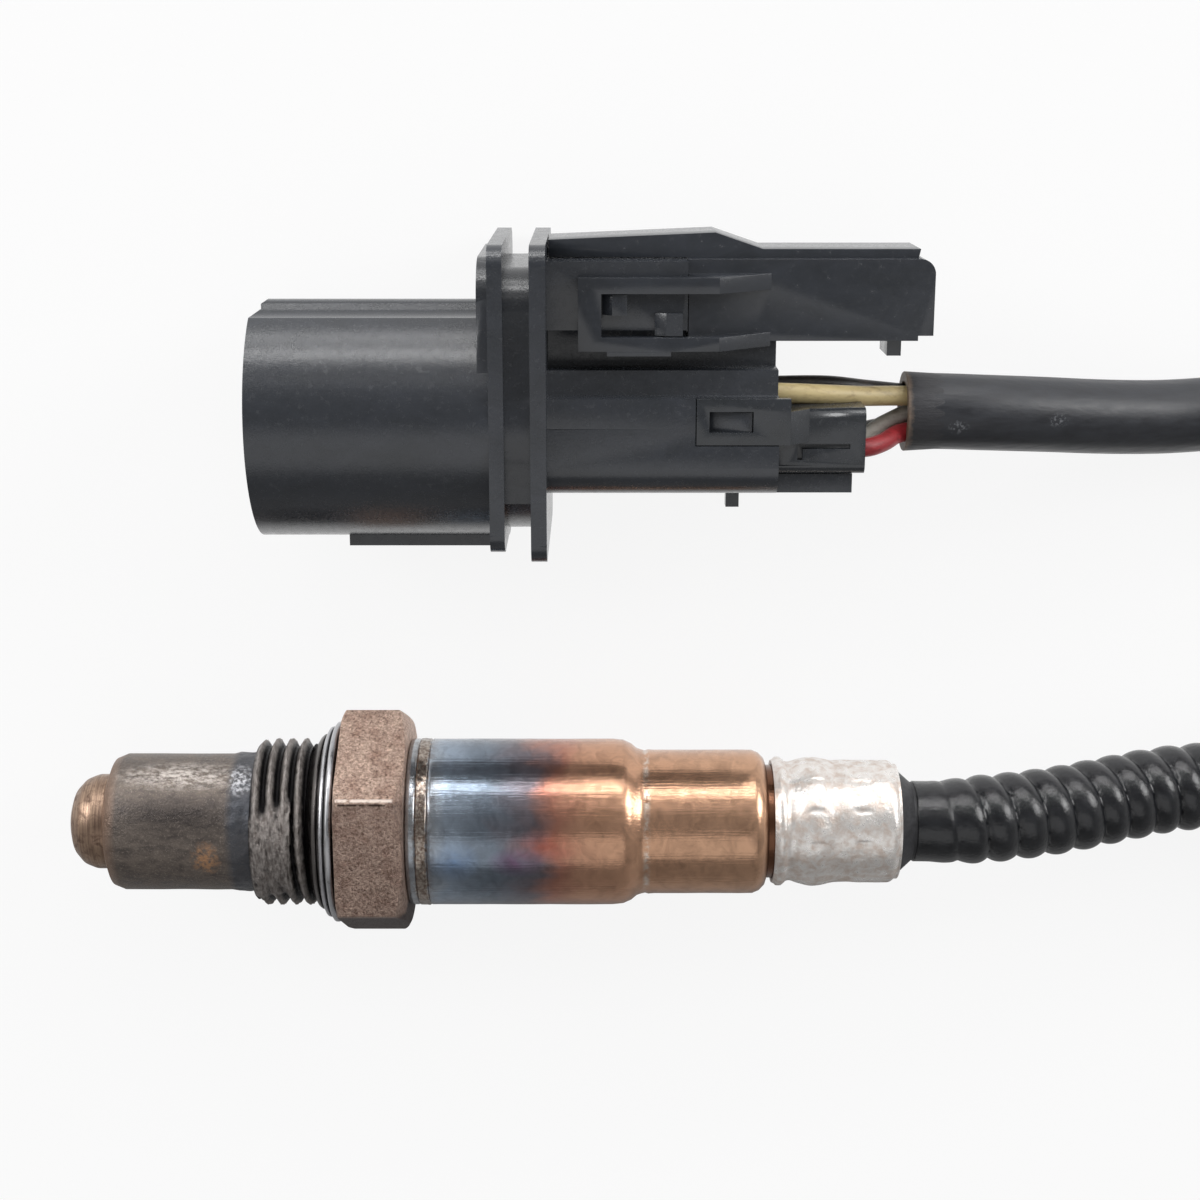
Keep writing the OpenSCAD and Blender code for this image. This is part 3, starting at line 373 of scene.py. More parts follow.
# Sheath end. The cable's black sheath is cut off square behind the plug, a little flared, with a
# brown dusty rim, and the wires come out of it.
mouth_long = 4
cut_rim = 0.9
sheath_flare = 0.18
merge_gap = 0.001 * MM
rim_brown = Finish("sheath_end_black", tone(46, 46, 50), 0.55)
rim_share = rim_brown.ranged(rim_brown.worked_out("ADD", rim_brown.along("X"), rim_brown.cloud(1.5, 4)),
                             sheath_end + 1.1, sheath_end + 0.3)
rim_black = rim_brown.shades(rim_brown.cloud(1.3, 6, (0.25, 1, 1)),
                             (0.3, tone(36, 36, 39)), (0.7, tone(48, 48, 52)))
rim_brown.set("Base Color", rim_brown.over(rim_share, rim_black, tone(126, 108, 92)))
rim_brown.relief(rim_brown.cloud(3, 5, (0.3, 1, 1)), 0.08)


def ring_of(profile, centre=(0, 0, 0), way=(1, 0, 0), steps=96, rounding=0.0):
    """A ring turned from a closed profile of (distance along, radius) points, about the probe's axis
    or another one."""
    bm = bmesh.new()
    corners = [bm.verts.new((x * MM, 0, r * MM)) for x, r in profile]
    for pair in zip(corners, corners[1:] + corners[:1]):
        bm.edges.new(pair)
    if rounding:
        bmesh.ops.bevel(bm, geom=bm.verts[:] + bm.edges[:], offset=rounding * MM, affect="VERTICES",
                        segments=3, profile=0.5, material=-1)
    bmesh.ops.spin(bm, geom=bm.verts[:] + bm.edges[:], cent=(0, 0, 0), axis=(1, 0, 0),
                   angle=math.tau, steps=steps, use_merge=True)
    bmesh.ops.remove_doubles(bm, verts=bm.verts, dist=merge_gap)
    bmesh.ops.recalc_face_normals(bm, faces=bm.faces)
    turn = Vector((1, 0, 0)).rotation_difference(Vector(way)).to_matrix().to_4x4()
    bmesh.ops.transform(bm, verts=bm.verts, matrix=Matrix.Translation(Vector(centre) * MM) @ turn)
    return bm


def made(bm, name, finish, slot, *stands_for, crease=38):
    """Ends the making of a piece: its mesh, smooth but for its creases, and what it stands for."""
    mesh = bpy.data.meshes.new(name)
    bm.to_mesh(mesh)
    bm.free()
    mesh.shade_smooth()
    mesh.set_sharp_from_angle(angle=math.radians(crease))
    return show(mesh, name, finish, slot, stands_for)


cable_r = cable_d / 2
mouth_profile = [(0, cable_r + sheath_flare), (1.2, cable_r + 0.1), (mouth_long, cable_r - 0.06),
                 (mouth_long, cable_r - cut_rim), (0, cable_r - cut_rim)]
sheath_mouth = made(ring_of(mouth_profile, (sheath_end, sheath_y, sheath_z), rounding=0.12),
                    "sheath_cut_end", rim_brown, "cable_sheath")


# Corrugated hose. A glossy black plastic tube with one helical fold, right-handed, pushed over
# the boot's tail. Its first folds are shallow.
hose_r = 4.8
hose_wall = 0.2
hose_steps, hose_spacing = 72, 0.22
fold_pitch = 3.2
fold_depth = 0.72
fold_start, fold_grown = 1.6, 7.0
start_lower = 0.45
groove_narrowing = 0.62

hose_black = Finish("hose_black", tone(22, 23, 26), 0.24, shine=0.6)
dust = hose_black.cloud(0.8, 6)
hose_black.set("Base Color", hose_black.shades(dust, (0.35, tone(18, 19, 22)), (0.7, tone(32, 33, 36))))
hose_black.set("Roughness", hose_black.ranged(dust, 0.35, 0.7, 0.14, 0.26))
hose_black.relief(hose_black.cloud(2.2, 5), 0.05)


def swept_fold(line, steps, shape):
    """A tube along a line, whose radius is a function of the distance along it and the turn round it."""
    bm = bmesh.new()
    bmesh.ops.create_grid(bm, x_segments=len(line) - 1, y_segments=steps, size=0.5)
    frames, run, up = [], 0.0, Vector((0, 0, 1))
    for i, at in enumerate(line):
        way = (line[min(i + 1, len(line) - 1)] - line[max(i - 1, 0)]).normalized()
        up = (up - up.dot(way) * way).normalized()
        run += (at - line[i - 1]).length if i else 0.0
        frames.append((at, up.cross(way), up, run))
    for v in bm.verts:
        at, side, up, run = frames[round((v.co.x + 0.5) * (len(line) - 1))]
        turn = math.tau * (v.co.y + 0.5)
        radius = shape(run, turn)
        v.co = (at + radius * (math.cos(turn) * side + math.sin(turn) * up)) * MM
    bmesh.ops.remove_doubles(bm, verts=bm.verts, dist=merge_gap)
    bmesh.ops.recalc_face_normals(bm, faces=bm.faces)
    return bm


def fold_radius(run, turn):
    """A broad round crest and a narrow groove for each turn of the helix."""
    phase = math.pi * (run / fold_pitch - turn / math.tau)
    grown = min(1.0, max(0.0, (run - fold_start) / (fold_grown - fold_start)))
    crest = hose_r - start_lower * (1 - grown)
    return crest - fold_depth * grown * (1 - abs(math.sin(phase)) ** groove_narrowing)


def walled(piece, wall):
    """Gives an open skin its wall, on the inside."""
    thickness = piece.modifiers.new("thickness", "SOLIDIFY")
    thickness.thickness = wall * MM
    thickness.offset = -1
    return piece


hose_skin = swept_fold(laid_route(hose_route, hose_spacing), hose_steps, fold_radius)
hose = walled(made(hose_skin, "corrugated_hose", hose_black, "hose_plastic", "protective_hose", crease=70),
              hose_wall)


# Join sleeve. A rubber sleeve, shrunk over the place where the hose ends on the plain sheath, so
# that it steps down from the one to the other.
join_r = 5.3
join_bore = 4.4

join_rubber = Finish("join_rubber_black", tone(38, 38, 41), 0.62)
join_rubber.relief(join_rubber.cloud(2, 5, (0.4, 1, 1)), 0.12)
join_rubber.set("Base Color", join_rubber.shades(join_rubber.cloud(1, 5), (0.3, tone(30, 30, 33)),
                                                 (0.7, tone(50, 50, 53))))

join_profile = [(0, join_bore), (0, join_r - 0.3), (0.5, join_r), (5.2, join_r), (6.6, join_r - 0.12),
                (8.2, cable_r + 0.7), (join_long - 0.2, cable_r + 0.45), (join_long, cable_r), (6, cable_r)]
join_sleeve = made(ring_of(join_profile, join_from, join_way, rounding=0.25),
                   "hose_join", join_rubber, "join_rubber", "hose_join_sleeve")


# Coil tie. A flat black strap with rounded corners, closed round the laps of the coil, which it
# holds together as they were stored.
tie_x = coil_x + coil_outer_r - coil_pitch * 0.75
tie_half = coil_pitch / 2 + cable_r + 0.5
tie_wide, tie_thick, tie_round = 5, 0.7, 3.2
tie_top = floor_z + cable_d + tie_thick

tie_strap = Finish("tie_black", tone(40, 40, 42), 0.7)
tie_strap.relief(tie_strap.cloud(6, 2, (1, 0.2, 1)), 0.1)
tie_strap.set("Base Color", tie_strap.shades(tie_strap.cloud(4, 4), (0.3, tone(28, 28, 30)),
                                             (0.7, tone(54, 54, 57))))

tie_bm = bmesh.new()
bmesh.ops.create_cube(tie_bm, size=1)
bmesh.ops.scale(tie_bm, verts=tie_bm.verts, vec=(2 * tie_half * MM, tie_wide * MM, (tie_top - floor_z) * MM))
tie_corners = [e for e in tie_bm.edges if abs(e.verts[0].co.y - e.verts[1].co.y) > MM]
bmesh.ops.bevel(tie_bm, geom=tie_corners, offset=tie_round * MM, affect="EDGES", segments=6, profile=0.5,
                material=-1)
tie_ends = [f for f in tie_bm.faces if abs(f.normal.y) > 0.9]
bmesh.ops.delete(tie_bm, geom=tie_ends, context="FACES_ONLY")
bmesh.ops.translate(tie_bm, verts=tie_bm.verts, vec=(tie_x * MM, coil_y * MM, (tie_top + floor_z) / 2 * MM))
bmesh.ops.recalc_face_normals(tie_bm, faces=tie_bm.faces)
coil_tie = walled(made(tie_bm, "coil_tie", tie_strap, "cable_sheath"), tie_thick)


# Inner protection tube. Drawn steel, browned by heat, with fine rings left by turning and a
# polished spot on its shoulder.
tip_x = ends_of("inner_protection_tube")[0]
tip_r = 5.1
tip_long, tip_wall = 17, 0.5

tip_bronze = Finish("tip_bronze", tone(144, 120, 102), 0.34, metal=0.8)
rings = tip_bronze.cloud(6, 3, (1, 0.04, 0.04))
grime = tip_bronze.cloud(1.1, 7, twist=0.6)
tip_colour = tip_bronze.over(tip_bronze.ranged(rings, 0.35, 0.7), tone(122, 100, 86), tone(172, 146, 124))
tip_colour = tip_bronze.over(tip_bronze.ranged(grime, 0.5, 0.72), tip_colour, tone(92, 72, 62))
tip_bronze.set("Base Color", tip_colour)
tip_bronze.set("Roughness", tip_bronze.ranged(grime, 0.35, 0.7, 0.28, 0.52))
tip_bronze.relief(rings, 0.03, 0.6)

tip_profile = [(tip_x + tip_wall, 1), (tip_x, 1), (tip_x + 0.1, tip_r - 2.9), (tip_x + 0.55, tip_r - 1.55),
               (tip_x + 1.5, tip_r - 0.5), (tip_x + 2.75, tip_r), (tip_x + tip_long, tip_r),
               (tip_x + tip_long, tip_r - tip_wall), (tip_x + 2.75, tip_r - tip_wall), (tip_x + 1, tip_r - 2)]
made(ring_of(tip_profile, steps=128, rounding=0.25),
     "inner_tube_shell", tip_bronze, "tip_steel", "inner_protection_tube", crease=60)


# Outer protection tube. Steel tube with a rounded front edge, sooted dark and rusty near its root,
# where a weld band joins it to the housing. Its colour holds painted light too: a painted highlight
# along its upper side and on the weld band, and a painted dark reflection where it faces the camera.
tube_x0, tube_x1 = ends_of("outer_protection_tube")
tube_middle = (tube_x0 + tube_x1) / 2
tube_r = 7.35
tube_wall = 0.5
band_long = 2.4
band_x = tube_x1 - band_long

tube_soot = Finish("tube_sooted", tone(110, 103, 98), 0.42, metal=0.75)
drag = tube_soot.cloud(1.2, 6, (0.5, 1, 1), twist=0.4)
specks = tube_soot.cloud(5, 4)
tube_colour = tube_soot.over(tube_soot.ranged(drag, 0.35, 0.65), tone(90, 83, 79), tone(122, 112, 104))
tube_colour = tube_soot.over(tube_soot.ranged(specks, 0.54, 0.76), tube_colour, tone(152, 140, 130))
# Painted dark reflection: a darker band along the side that faces the camera.
painted_dark_reflection = tube_soot.near((tube_middle, 3.3, 6.6), (18, 3.3, 2.7))
tube_colour = tube_soot.over(tube_soot.times(painted_dark_reflection, 0.8), tube_colour, tone(50, 46, 46))
# Painted highlight: a bright streak along the upper side, broken up by a streaky pattern.
painted_top_highlight = tube_soot.near((tube_middle + 0.5, 6.5, 3.4), (8.5, 1.6, 3))
highlight_breakup = tube_soot.cloud(2.2, 9, (0.5, 1, 1), 0.7)
painted_top_highlight = tube_soot.times(painted_top_highlight, tube_soot.ranged(highlight_breakup, 0.42, 0.66))
tube_colour = tube_soot.over(tube_soot.ranged(painted_top_highlight, 0, 0.55), tube_colour, tone(202, 193, 186))
rust = tube_soot.near((-11.8, -1.5, 7.2), (1.9, 2.4, 2.8))
rust = tube_soot.times(rust, tube_soot.ranged(tube_soot.cloud(1.7, 7), 0.38, 0.62))
tube_colour = tube_soot.over(tube_soot.ranged(rust, 0.03, 0.6), tube_colour, tone(182, 140, 106))
browned = tube_soot.ranged(tube_soot.along("X"), tube_x0 + 1.7, tube_x0 + 0.3)
tube_colour = tube_soot.over(tube_soot.times(browned, 0.6), tube_colour, tone(150, 118, 96))
band = tube_soot.ranged(tube_soot.along("X"), band_x - 0.4, band_x + 0.5)
tube_colour = tube_soot.over(tube_soot.times(band, 0.75), tube_colour, tone(74, 79, 87))
# Painted highlight on the upper side of the weld band.
painted_band_highlight = tube_soot.times(band, tube_soot.near((tube_x1 - 1.4, 6.2, 4), (2, 2, 3)))
painted_band_highlight = tube_soot.times(painted_band_highlight, tube_soot.ranged(tube_soot.cloud(2.4, 6), 0.4, 0.62))
tube_colour = tube_soot.over(tube_soot.ranged(painted_band_highlight, 0.06, 0.6), tube_colour, tone(200, 200, 204))
tube_soot.set("Base Color", tube_colour)
tube_soot.set("Roughness", tube_soot.ranged(drag, 0.3, 0.7, 0.3, 0.52))
tube_soot.relief(tube_soot.over(0.5, tube_soot.cloud(3, 7), specks), 0.12)

tube_profile = ([(tube_x0, 5.2), (tube_x0, tube_r - 1.5), (tube_x0 + 0.44, tube_r - 0.44),
                 (tube_x0 + 1.5, tube_r)]
                + [(band_x - 8 + 0.5 * i, tube_r) for i in range(16)]
                + [(band_x + 0.15 + 0.15 * i, tube_r + 0.14) for i in range(16)]
                + [(tube_x1, tube_r - tube_wall), (tube_x0 + 1.5, tube_r - tube_wall),
                   (tube_x0 + tube_wall, tube_r - 1.5), (tube_x0 + tube_wall, 5.2)])
tube_bm = ring_of(tube_profile, steps=160)


def uneven(bm, depth, scale, test):
    """Moves the points that pass a test in or out a little, from the probe's axis, by a smooth pattern."""
    for v in bm.verts:
        x, radius = v.co.x / MM, math.hypot(v.co.y, v.co.z) / MM
        if radius and test(x, radius):
            shift = depth * noise.noise(v.co / MM * scale)
            v.co.yz = v.co.yz * (1 + shift / radius)


uneven(tube_bm, 0.14, 1.1, lambda x, r: r > tube_r - 0.1 and x > band_x)
uneven(tube_bm, 0.05, 0.25, lambda x, r: r > tube_r - 0.1 and x < band_x)
made(tube_bm, "outer_tube_shell", tube_soot, "tube_steel", "outer_protection_tube", crease=60)


# Housing. One turned steel piece: an M18 thread that is battered and half filled with old paste,
# a relief for the sealing ring, and the hexagon, browned and grainy from the heat.
thread_r, thread_root = 9.0, 8.1
thread_pitch = 1.5
thread_turns, turn_steps = 6, 120
thread_x0, thread_x1 = -7.0, -1.15
lead_in_long = 0.6
hex_x0, hex_x1 = 2.2, 9.3
hex_middle = (hex_x0 + hex_x1) / 2
nose_x, nose_r, nose_floor = ends_of("housing")[0], 6.7, -8.5
bore_r, gas_bore_r = 4.6, 2.7

thread_steel = Finish("thread_steel", tone(120, 114, 110), 0.36, metal=0.8)
streaks = thread_steel.cloud(2.2, 6, (1.5, 0.5, 0.5))
worn = thread_steel.over(thread_steel.ranged(streaks, 0.35, 0.65), tone(104, 97, 93), tone(160, 154, 150))
out_from_axis = thread_steel.worked_out("ADD", thread_steel.radius(),
                                        thread_steel.times(thread_steel.cloud(1.5, 4), 0.35))
# Painted shade: nearly black towards the roots of the grooves.
near_crest = thread_steel.ranged(out_from_axis, thread_root + 0.45, thread_r - 0.1)
thread_steel.set("Base Color", thread_steel.over(near_crest, tone(26, 24, 25), worn))
thread_steel.set("Roughness", thread_steel.ranged(streaks, 0.3, 0.7, 0.32, 0.6))
thread_steel.relief(thread_steel.cloud(4, 6), 0.14)

thread_bm = bmesh.new()
flank = [(0, thread_root), (0.14, thread_root), (0.38, 8.5), (0.62, 8.88), (0.72, thread_r), (0.84, thread_r),
         (0.94, 8.88), (1.18, 8.5), (1.42, thread_root), (thread_pitch, thread_root)]
chain = [thread_bm.verts.new(((thread_x0 - thread_pitch + x) * MM, 0, r * MM)) for x, r in flank]
for pair in zip(chain, chain[1:]):
    thread_bm.edges.new(pair)
thread_steps = turn_steps * thread_turns
bmesh.ops.spin(thread_bm, geom=thread_bm.verts[:] + thread_bm.edges[:], cent=(0, 0, 0), axis=(1, 0, 0),
               dvec=(thread_pitch * thread_turns / thread_steps * MM, 0, 0),
               angle=math.tau * thread_turns, steps=thread_steps)
bmesh.ops.remove_doubles(thread_bm, verts=thread_bm.verts, dist=2 * merge_gap)


def cut_off(bm, x, side):
    """Cuts a mesh square across the probe and drops what lies in front of (-1) or behind (1) the cut."""
    bmesh.ops.bisect_plane(bm, geom=bm.verts[:] + bm.edges[:] + bm.faces[:], dist=0.1 * merge_gap,
                           plane_co=(x * MM, 0, 0), plane_no=(side, 0, 0), clear_outer=True)


cut_off(thread_bm, thread_x0, -1)
cut_off(thread_bm, thread_x1, 1)
paste_turn, paste_half_turn, paste_slant = math.radians(-6), 0.74, 0.05
paste_x, paste_thin_x, paste_r = -4, -2.6, 8.84
crest_r = 8.6
for v in thread_bm.verts:
    x, radius = v.co.x / MM, math.hypot(v.co.y, v.co.z) / MM
    turn = math.atan2(v.co.y, v.co.z)
    off_paste = abs(turn - paste_turn - paste_slant * (x - paste_x)) / paste_half_turn
    patch = max(0.0, 1 - off_paste ** 4) * (1 if x < paste_thin_x else 0.3)
    rough_patch = noise.noise(v.co / MM * 0.9)
    filled = paste_r + 0.14 * rough_patch
    radius += patch * max(0.0, filled - radius) if patch > 0.25 + 0.3 * rough_patch else 0.0
    dents = 0.3 * max(0.0, noise.noise(v.co / MM * 1.1 + Vector((7, 0, 0))))
    battered = dents + 0.34 * noise.noise(v.co / MM * 1.8)
    lead_in = max(0.0, lead_in_long - (x - thread_x0))
    radius = min(radius - (battered if radius > crest_r else 0), thread_r - lead_in)
    v.co.yz = Vector((math.sin(turn), math.cos(turn))) * radius * MM
rims = [e for e in thread_bm.edges if e.is_boundary]
for cut in (thread_x0, thread_x1):
    rim = [e for e in rims if all(abs(v.co.x / MM - cut) < 0.02 for v in e.verts)]
    inner = bmesh.ops.create_circle(thread_bm, segments=turn_steps, radius=bore_r * MM)["verts"]
    bmesh.ops.rotate(thread_bm, verts=inner, matrix=Matrix.Rotation(math.radians(90), 3, "Y"), cent=(0, 0, 0))
    bmesh.ops.translate(thread_bm, verts=inner, vec=(cut * MM, 0, 0))
    inner_edges = list({e for v in inner for e in v.link_edges})
    bmesh.ops.bridge_loops(thread_bm, edges=rim + inner_edges)
bmesh.ops.bridge_loops(thread_bm, edges=[e for e in thread_bm.edges if e.is_boundary])
bmesh.ops.recalc_face_normals(thread_bm, faces=thread_bm.faces)
made(thread_bm, "m18_thread", thread_steel, "body_steel", crease=50)

hex_brown = Finish("hexagon_brown", tone(172, 142, 122), 0.42, metal=0.9)
grain = hex_brown.cloud(3.4, 6, rough=0.74)
blotches = hex_brown.cloud(0.55, 5)
pits = hex_brown.cloud(2.6, 4)
hex_colour = hex_brown.over(hex_brown.ranged(grain, 0.36, 0.64), tone(131, 106, 94), tone(232, 205, 187))
hex_colour = hex_brown.over(hex_brown.ranged(blotches, 0.45, 0.75), hex_colour, tone(200, 184, 180),
                            "MULTIPLY")
hex_colour = hex_brown.over(hex_brown.ranged(pits, 0.61, 0.7), hex_colour, tone(92, 66, 58))
# Painted shade: the near face a little darker, the lowest face, turned away from the lamps, much darker, and
# the shoulder beside the ring nearly black.
for axis, shade_from, shade_full_at, share, dirt_and_painted_shade in (("Y", 6.2, 5.8, 0.4, (84, 70, 66)),
                                        ("Y", -6.5, -7.3, 0.85, (56, 52, 54)),
                                        ("X", 1.9, 1.4, 1, (30, 28, 28))):
    painted_shade = hex_brown.ranged(hex_brown.along(axis), shade_from, shade_full_at, 0, share)
    hex_colour = hex_brown.over(painted_shade, hex_colour, tone(*dirt_and_painted_shade))
# A dark line beside the edge between the two upper faces, and a painted highlight along the edge itself
for y, z, deep, scale, broken, whole, full, colour in (
        (6, 11, 0.4, 1.6, 0.32, 0.5, 0.9, (58, 46, 42)),
        (6.42, 10.85, 0.34, 1.3, 0.36, 0.52, 0.8, (244, 230, 220))):
    edge_line = hex_brown.near((hex_middle, y, z), (30, 0.26, deep))
    edge_line = hex_brown.times(edge_line, hex_brown.ranged(hex_brown.cloud(scale, 6), broken, whole))
    hex_colour = hex_brown.over(hex_brown.ranged(edge_line, 0.1, full), hex_colour, tone(*colour))
hex_brown.set("Base Color", hex_colour)
hex_brown.set("Roughness", hex_brown.ranged(grain, 0.3, 0.7, 0.36, 0.62))
hex_brown.relief(grain, 0.2)


def copy_of(node):
    """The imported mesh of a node, its points joined and its flat faces made whole."""
    bm = bmesh.new()
    bm.from_mesh(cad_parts[node].data)
    bmesh.ops.remove_doubles(bm, verts=bm.verts, dist=2 * merge_gap)
    bmesh.ops.dissolve_limit(bm, angle_limit=math.radians(0.1), verts=bm.verts, edges=bm.edges)
    return bm


def soften(bm, edge, test):
    """Rounds the sharp edges whose two ends, in millimetres, pass a test."""
    sharp = math.radians(28)
    chosen = [e for e in bm.edges if e.is_manifold and e.calc_face_angle(0) > sharp
              and test([v.co / MM for v in e.verts])]
    bmesh.ops.bevel(bm, geom=chosen, offset=edge * MM, affect="EDGES", segments=2, profile=0.5,
                    material=-1, clamp_overlap=True)


hex_bm = copy_of("housing")
cut_off(hex_bm, thread_x1, -1)
bmesh.ops.bridge_loops(hex_bm, edges=[e for e in hex_bm.edges if e.is_boundary])
soften(hex_bm, 0.16, lambda ends: all(math.hypot(p.y, p.z) > 10.5 for p in ends))
made(hex_bm, "hexagon_body", hex_brown, "body_steel", "housing", crease=34)

nose_profile = [(nose_x, gas_bore_r), (nose_x, nose_r), (thread_x0, nose_r), (thread_x0, bore_r),
                (nose_floor, bore_r), (nose_floor, gas_bore_r)]
made(ring_of(nose_profile, rounding=0.1), "housing_nose", thread_steel, "body_steel")


# Sealing ring. Thin steel folded over itself and crushed to a cone. Its colour is darker at the
# front, then bright folds and dark gaps alternate in front of the hexagon: painted highlights on
# the folds and painted shade in the gaps.
ring_x0, ring_x1 = -0.9, 2.1

ring_steel = Finish("ring_bright", tone(172, 172, 174), 0.3, metal=1.0)
ring_rub = ring_steel.cloud(3, 5, (1, 0.3, 0.3))
fold_lines = ring_steel.cloud(9, 1, (1, 0.01, 0.01))
# Darker at the front, then painted highlights on the folds and painted shade in the gaps.
painted_folds_and_gaps = ring_steel.shades(ring_steel.ranged(ring_steel.along("X"), ring_x0, ring_x1),
                                (0.0, tone(70, 66, 64)), (0.3, tone(104, 100, 98)),
                                (0.4, tone(36, 34, 34)), (0.47, tone(200, 200, 202)),
                                (0.6, tone(190, 190, 194)), (0.67, tone(40, 38, 38)),
                                (0.74, tone(206, 206, 208)), (0.9, tone(170, 170, 174)),
                                (0.97, tone(30, 28, 28)))
ring_steel.set("Base Color", ring_steel.over(ring_steel.ranged(ring_rub, 0.35, 0.75, 0.25, 0), painted_folds_and_gaps,
                                             tone(96, 92, 90)))
ring_steel.set("Roughness", ring_steel.ranged(ring_rub, 0.3, 0.7, 0.22, 0.48))
ring_steel.relief(fold_lines, 0.015)

ring_profile = [(ring_x0, 7.95), (-0.7, 8.5), (-0.3, 9.2), (0, 9.45), (0.15, 9.4), (0.2, 9.1), (0.35, 9.1),
                (0.42, 9.8), (0.62, 10.2), (0.85, 10.3), (1, 10.15), (1.02, 9.8), (1.15, 9.8), (1.2, 10.5),
                (1.4, 10.78), (1.7, 10.8), (1.9, 10.7), (1.95, 10.3), (2.05, 10.2), (ring_x1, 9.6),
                (ring_x1, 8)]
made(ring_of(ring_profile, steps=160, rounding=0.04),
     "folded_ring", ring_steel, "ring_steel", "sealing_ring", crease=50)


# Protective sleeve. Deep-drawn steel, welded to the housing, with a step and a narrower end. The
# heat has left it blue-grey at the weld, then purple and red, then copper and gold.
sleeve_x0, neck_x1 = ends_of("protective_sleeve")
sleeve_r, top_r, neck_r = 8.95, 7.75, 6.1
sleeve_wall = 0.6
step_x0, step_x1, ridge_x, top_x1 = 32.8, 34.3, 34.7, 47.6
weld_from, weld_to = 10.4, 11.6
weld_middle, weld_half = (weld_from + weld_to) / 2, (weld_to - weld_from) / 2

heat_tint = Finish("sleeve_heat_tint", tone(210, 160, 120), 0.24, metal=0.82)
drift = heat_tint.cloud(0.16, 3, (0.7, 1, 1), twist=0.5)
along_sleeve = heat_tint.worked_out("ADD", heat_tint.along("X"),
                                    heat_tint.ranged(drift, 0.25, 0.75, -2.4, 2.4))
tint_from, tint_to = 9.0, 50.0


def at_x(x):
    """Where a distance along the probe stands in the range of the heat tint."""
    return (x - tint_from) / (tint_to - tint_from)


tint = heat_tint.shades(heat_tint.ranged(along_sleeve, tint_from, tint_to),
                        (0.0, tone(176, 180, 184)), (at_x(13), tone(150, 163, 178)),
                        (at_x(18), tone(118, 128, 140)), (at_x(22), tone(120, 112, 118)),
                        (at_x(24.5), tone(178, 125, 107)), (at_x(27), tone(197, 150, 123)),
                        (at_x(34), tone(202, 158, 128)), (at_x(44), tone(203, 161, 131)))
spots = heat_tint.ranged(heat_tint.cloud(0.5, 5), 0.3, 0.5, 0.5, 1)
for place, reach, share, colour in (((24, 0.6, 8.9), (4.4, 2, 3), 0.7, (174, 92, 76)),
                                    ((21, -1.2, 8.8), (3.2, 1.9, 3), 0.75, (132, 92, 128)),
                                    ((14.5, -1.2, 8.8), (3, 2.6, 3), 0.7, (112, 142, 182))):
    spot = heat_tint.times(heat_tint.near(place, reach), spots)
    tint = heat_tint.over(heat_tint.times(spot, share), tint, tone(*colour))


def away_from(x):
    """How far a place on the sleeve is from a ring round it, in millimetres."""
    return heat_tint.worked_out("ABSOLUTE", heat_tint.worked_out("SUBTRACT", heat_tint.along("X"), x))


ragged = heat_tint.ranged(heat_tint.cloud(1.6, 5), 0.3, 0.7, -0.2, 0.2)
off_weld = heat_tint.worked_out("ADD", away_from(weld_middle), ragged)
sooted = heat_tint.times(heat_tint.ranged(off_weld, weld_half + 1.1, weld_half),
                         heat_tint.ranged(heat_tint.cloud(1.3, 6), 0.36, 0.6, 0, 0.6))
tint = heat_tint.over(sooted, tint, tone(108, 96, 90))
weld_share = heat_tint.ranged(off_weld, weld_half + 0.15, weld_half - 0.15)
dimples = heat_tint.ranged(heat_tint.cloud(3, 5), 0.38, 0.62)
tint = heat_tint.over(weld_share, tint, heat_tint.over(dimples, tone(116, 98, 86), tone(176, 166, 156)))
# Lighter round the ridge of the step: partly wear, partly a painted highlight.
ridge_wear_and_highlight = heat_tint.times(heat_tint.ranged(away_from(ridge_x), 0.45, 0.1, 0, 0.75),
                             heat_tint.ranged(heat_tint.cloud(1.1, 5), 0.42, 0.58))
tint = heat_tint.over(ridge_wear_and_highlight, tint, tone(226, 214, 202))
smoke = heat_tint.ranged(heat_tint.cloud(0.5, 6, (1.4, 1, 1), twist=0.7), 0.42, 0.8)
tint = heat_tint.over(heat_tint.times(smoke, 0.4), tint, tone(74, 58, 54), "MULTIPLY")
neck_share = heat_tint.ranged(heat_tint.radius(), 7.2, 6.5)
tint = heat_tint.over(neck_share, tint, tone(112, 76, 56))
heat_tint.set("Base Color", tint)
fine_lines = heat_tint.cloud(1.4, 4, (0.1, 3, 3))
heat_tint.set("Roughness", heat_tint.ranged(heat_tint.cloud(1.1, 6), 0.3, 0.7, 0.13, 0.27))
heat_tint.relief(heat_tint.over(0.35, fine_lines, heat_tint.cloud(2.5, 5)), 0.035)

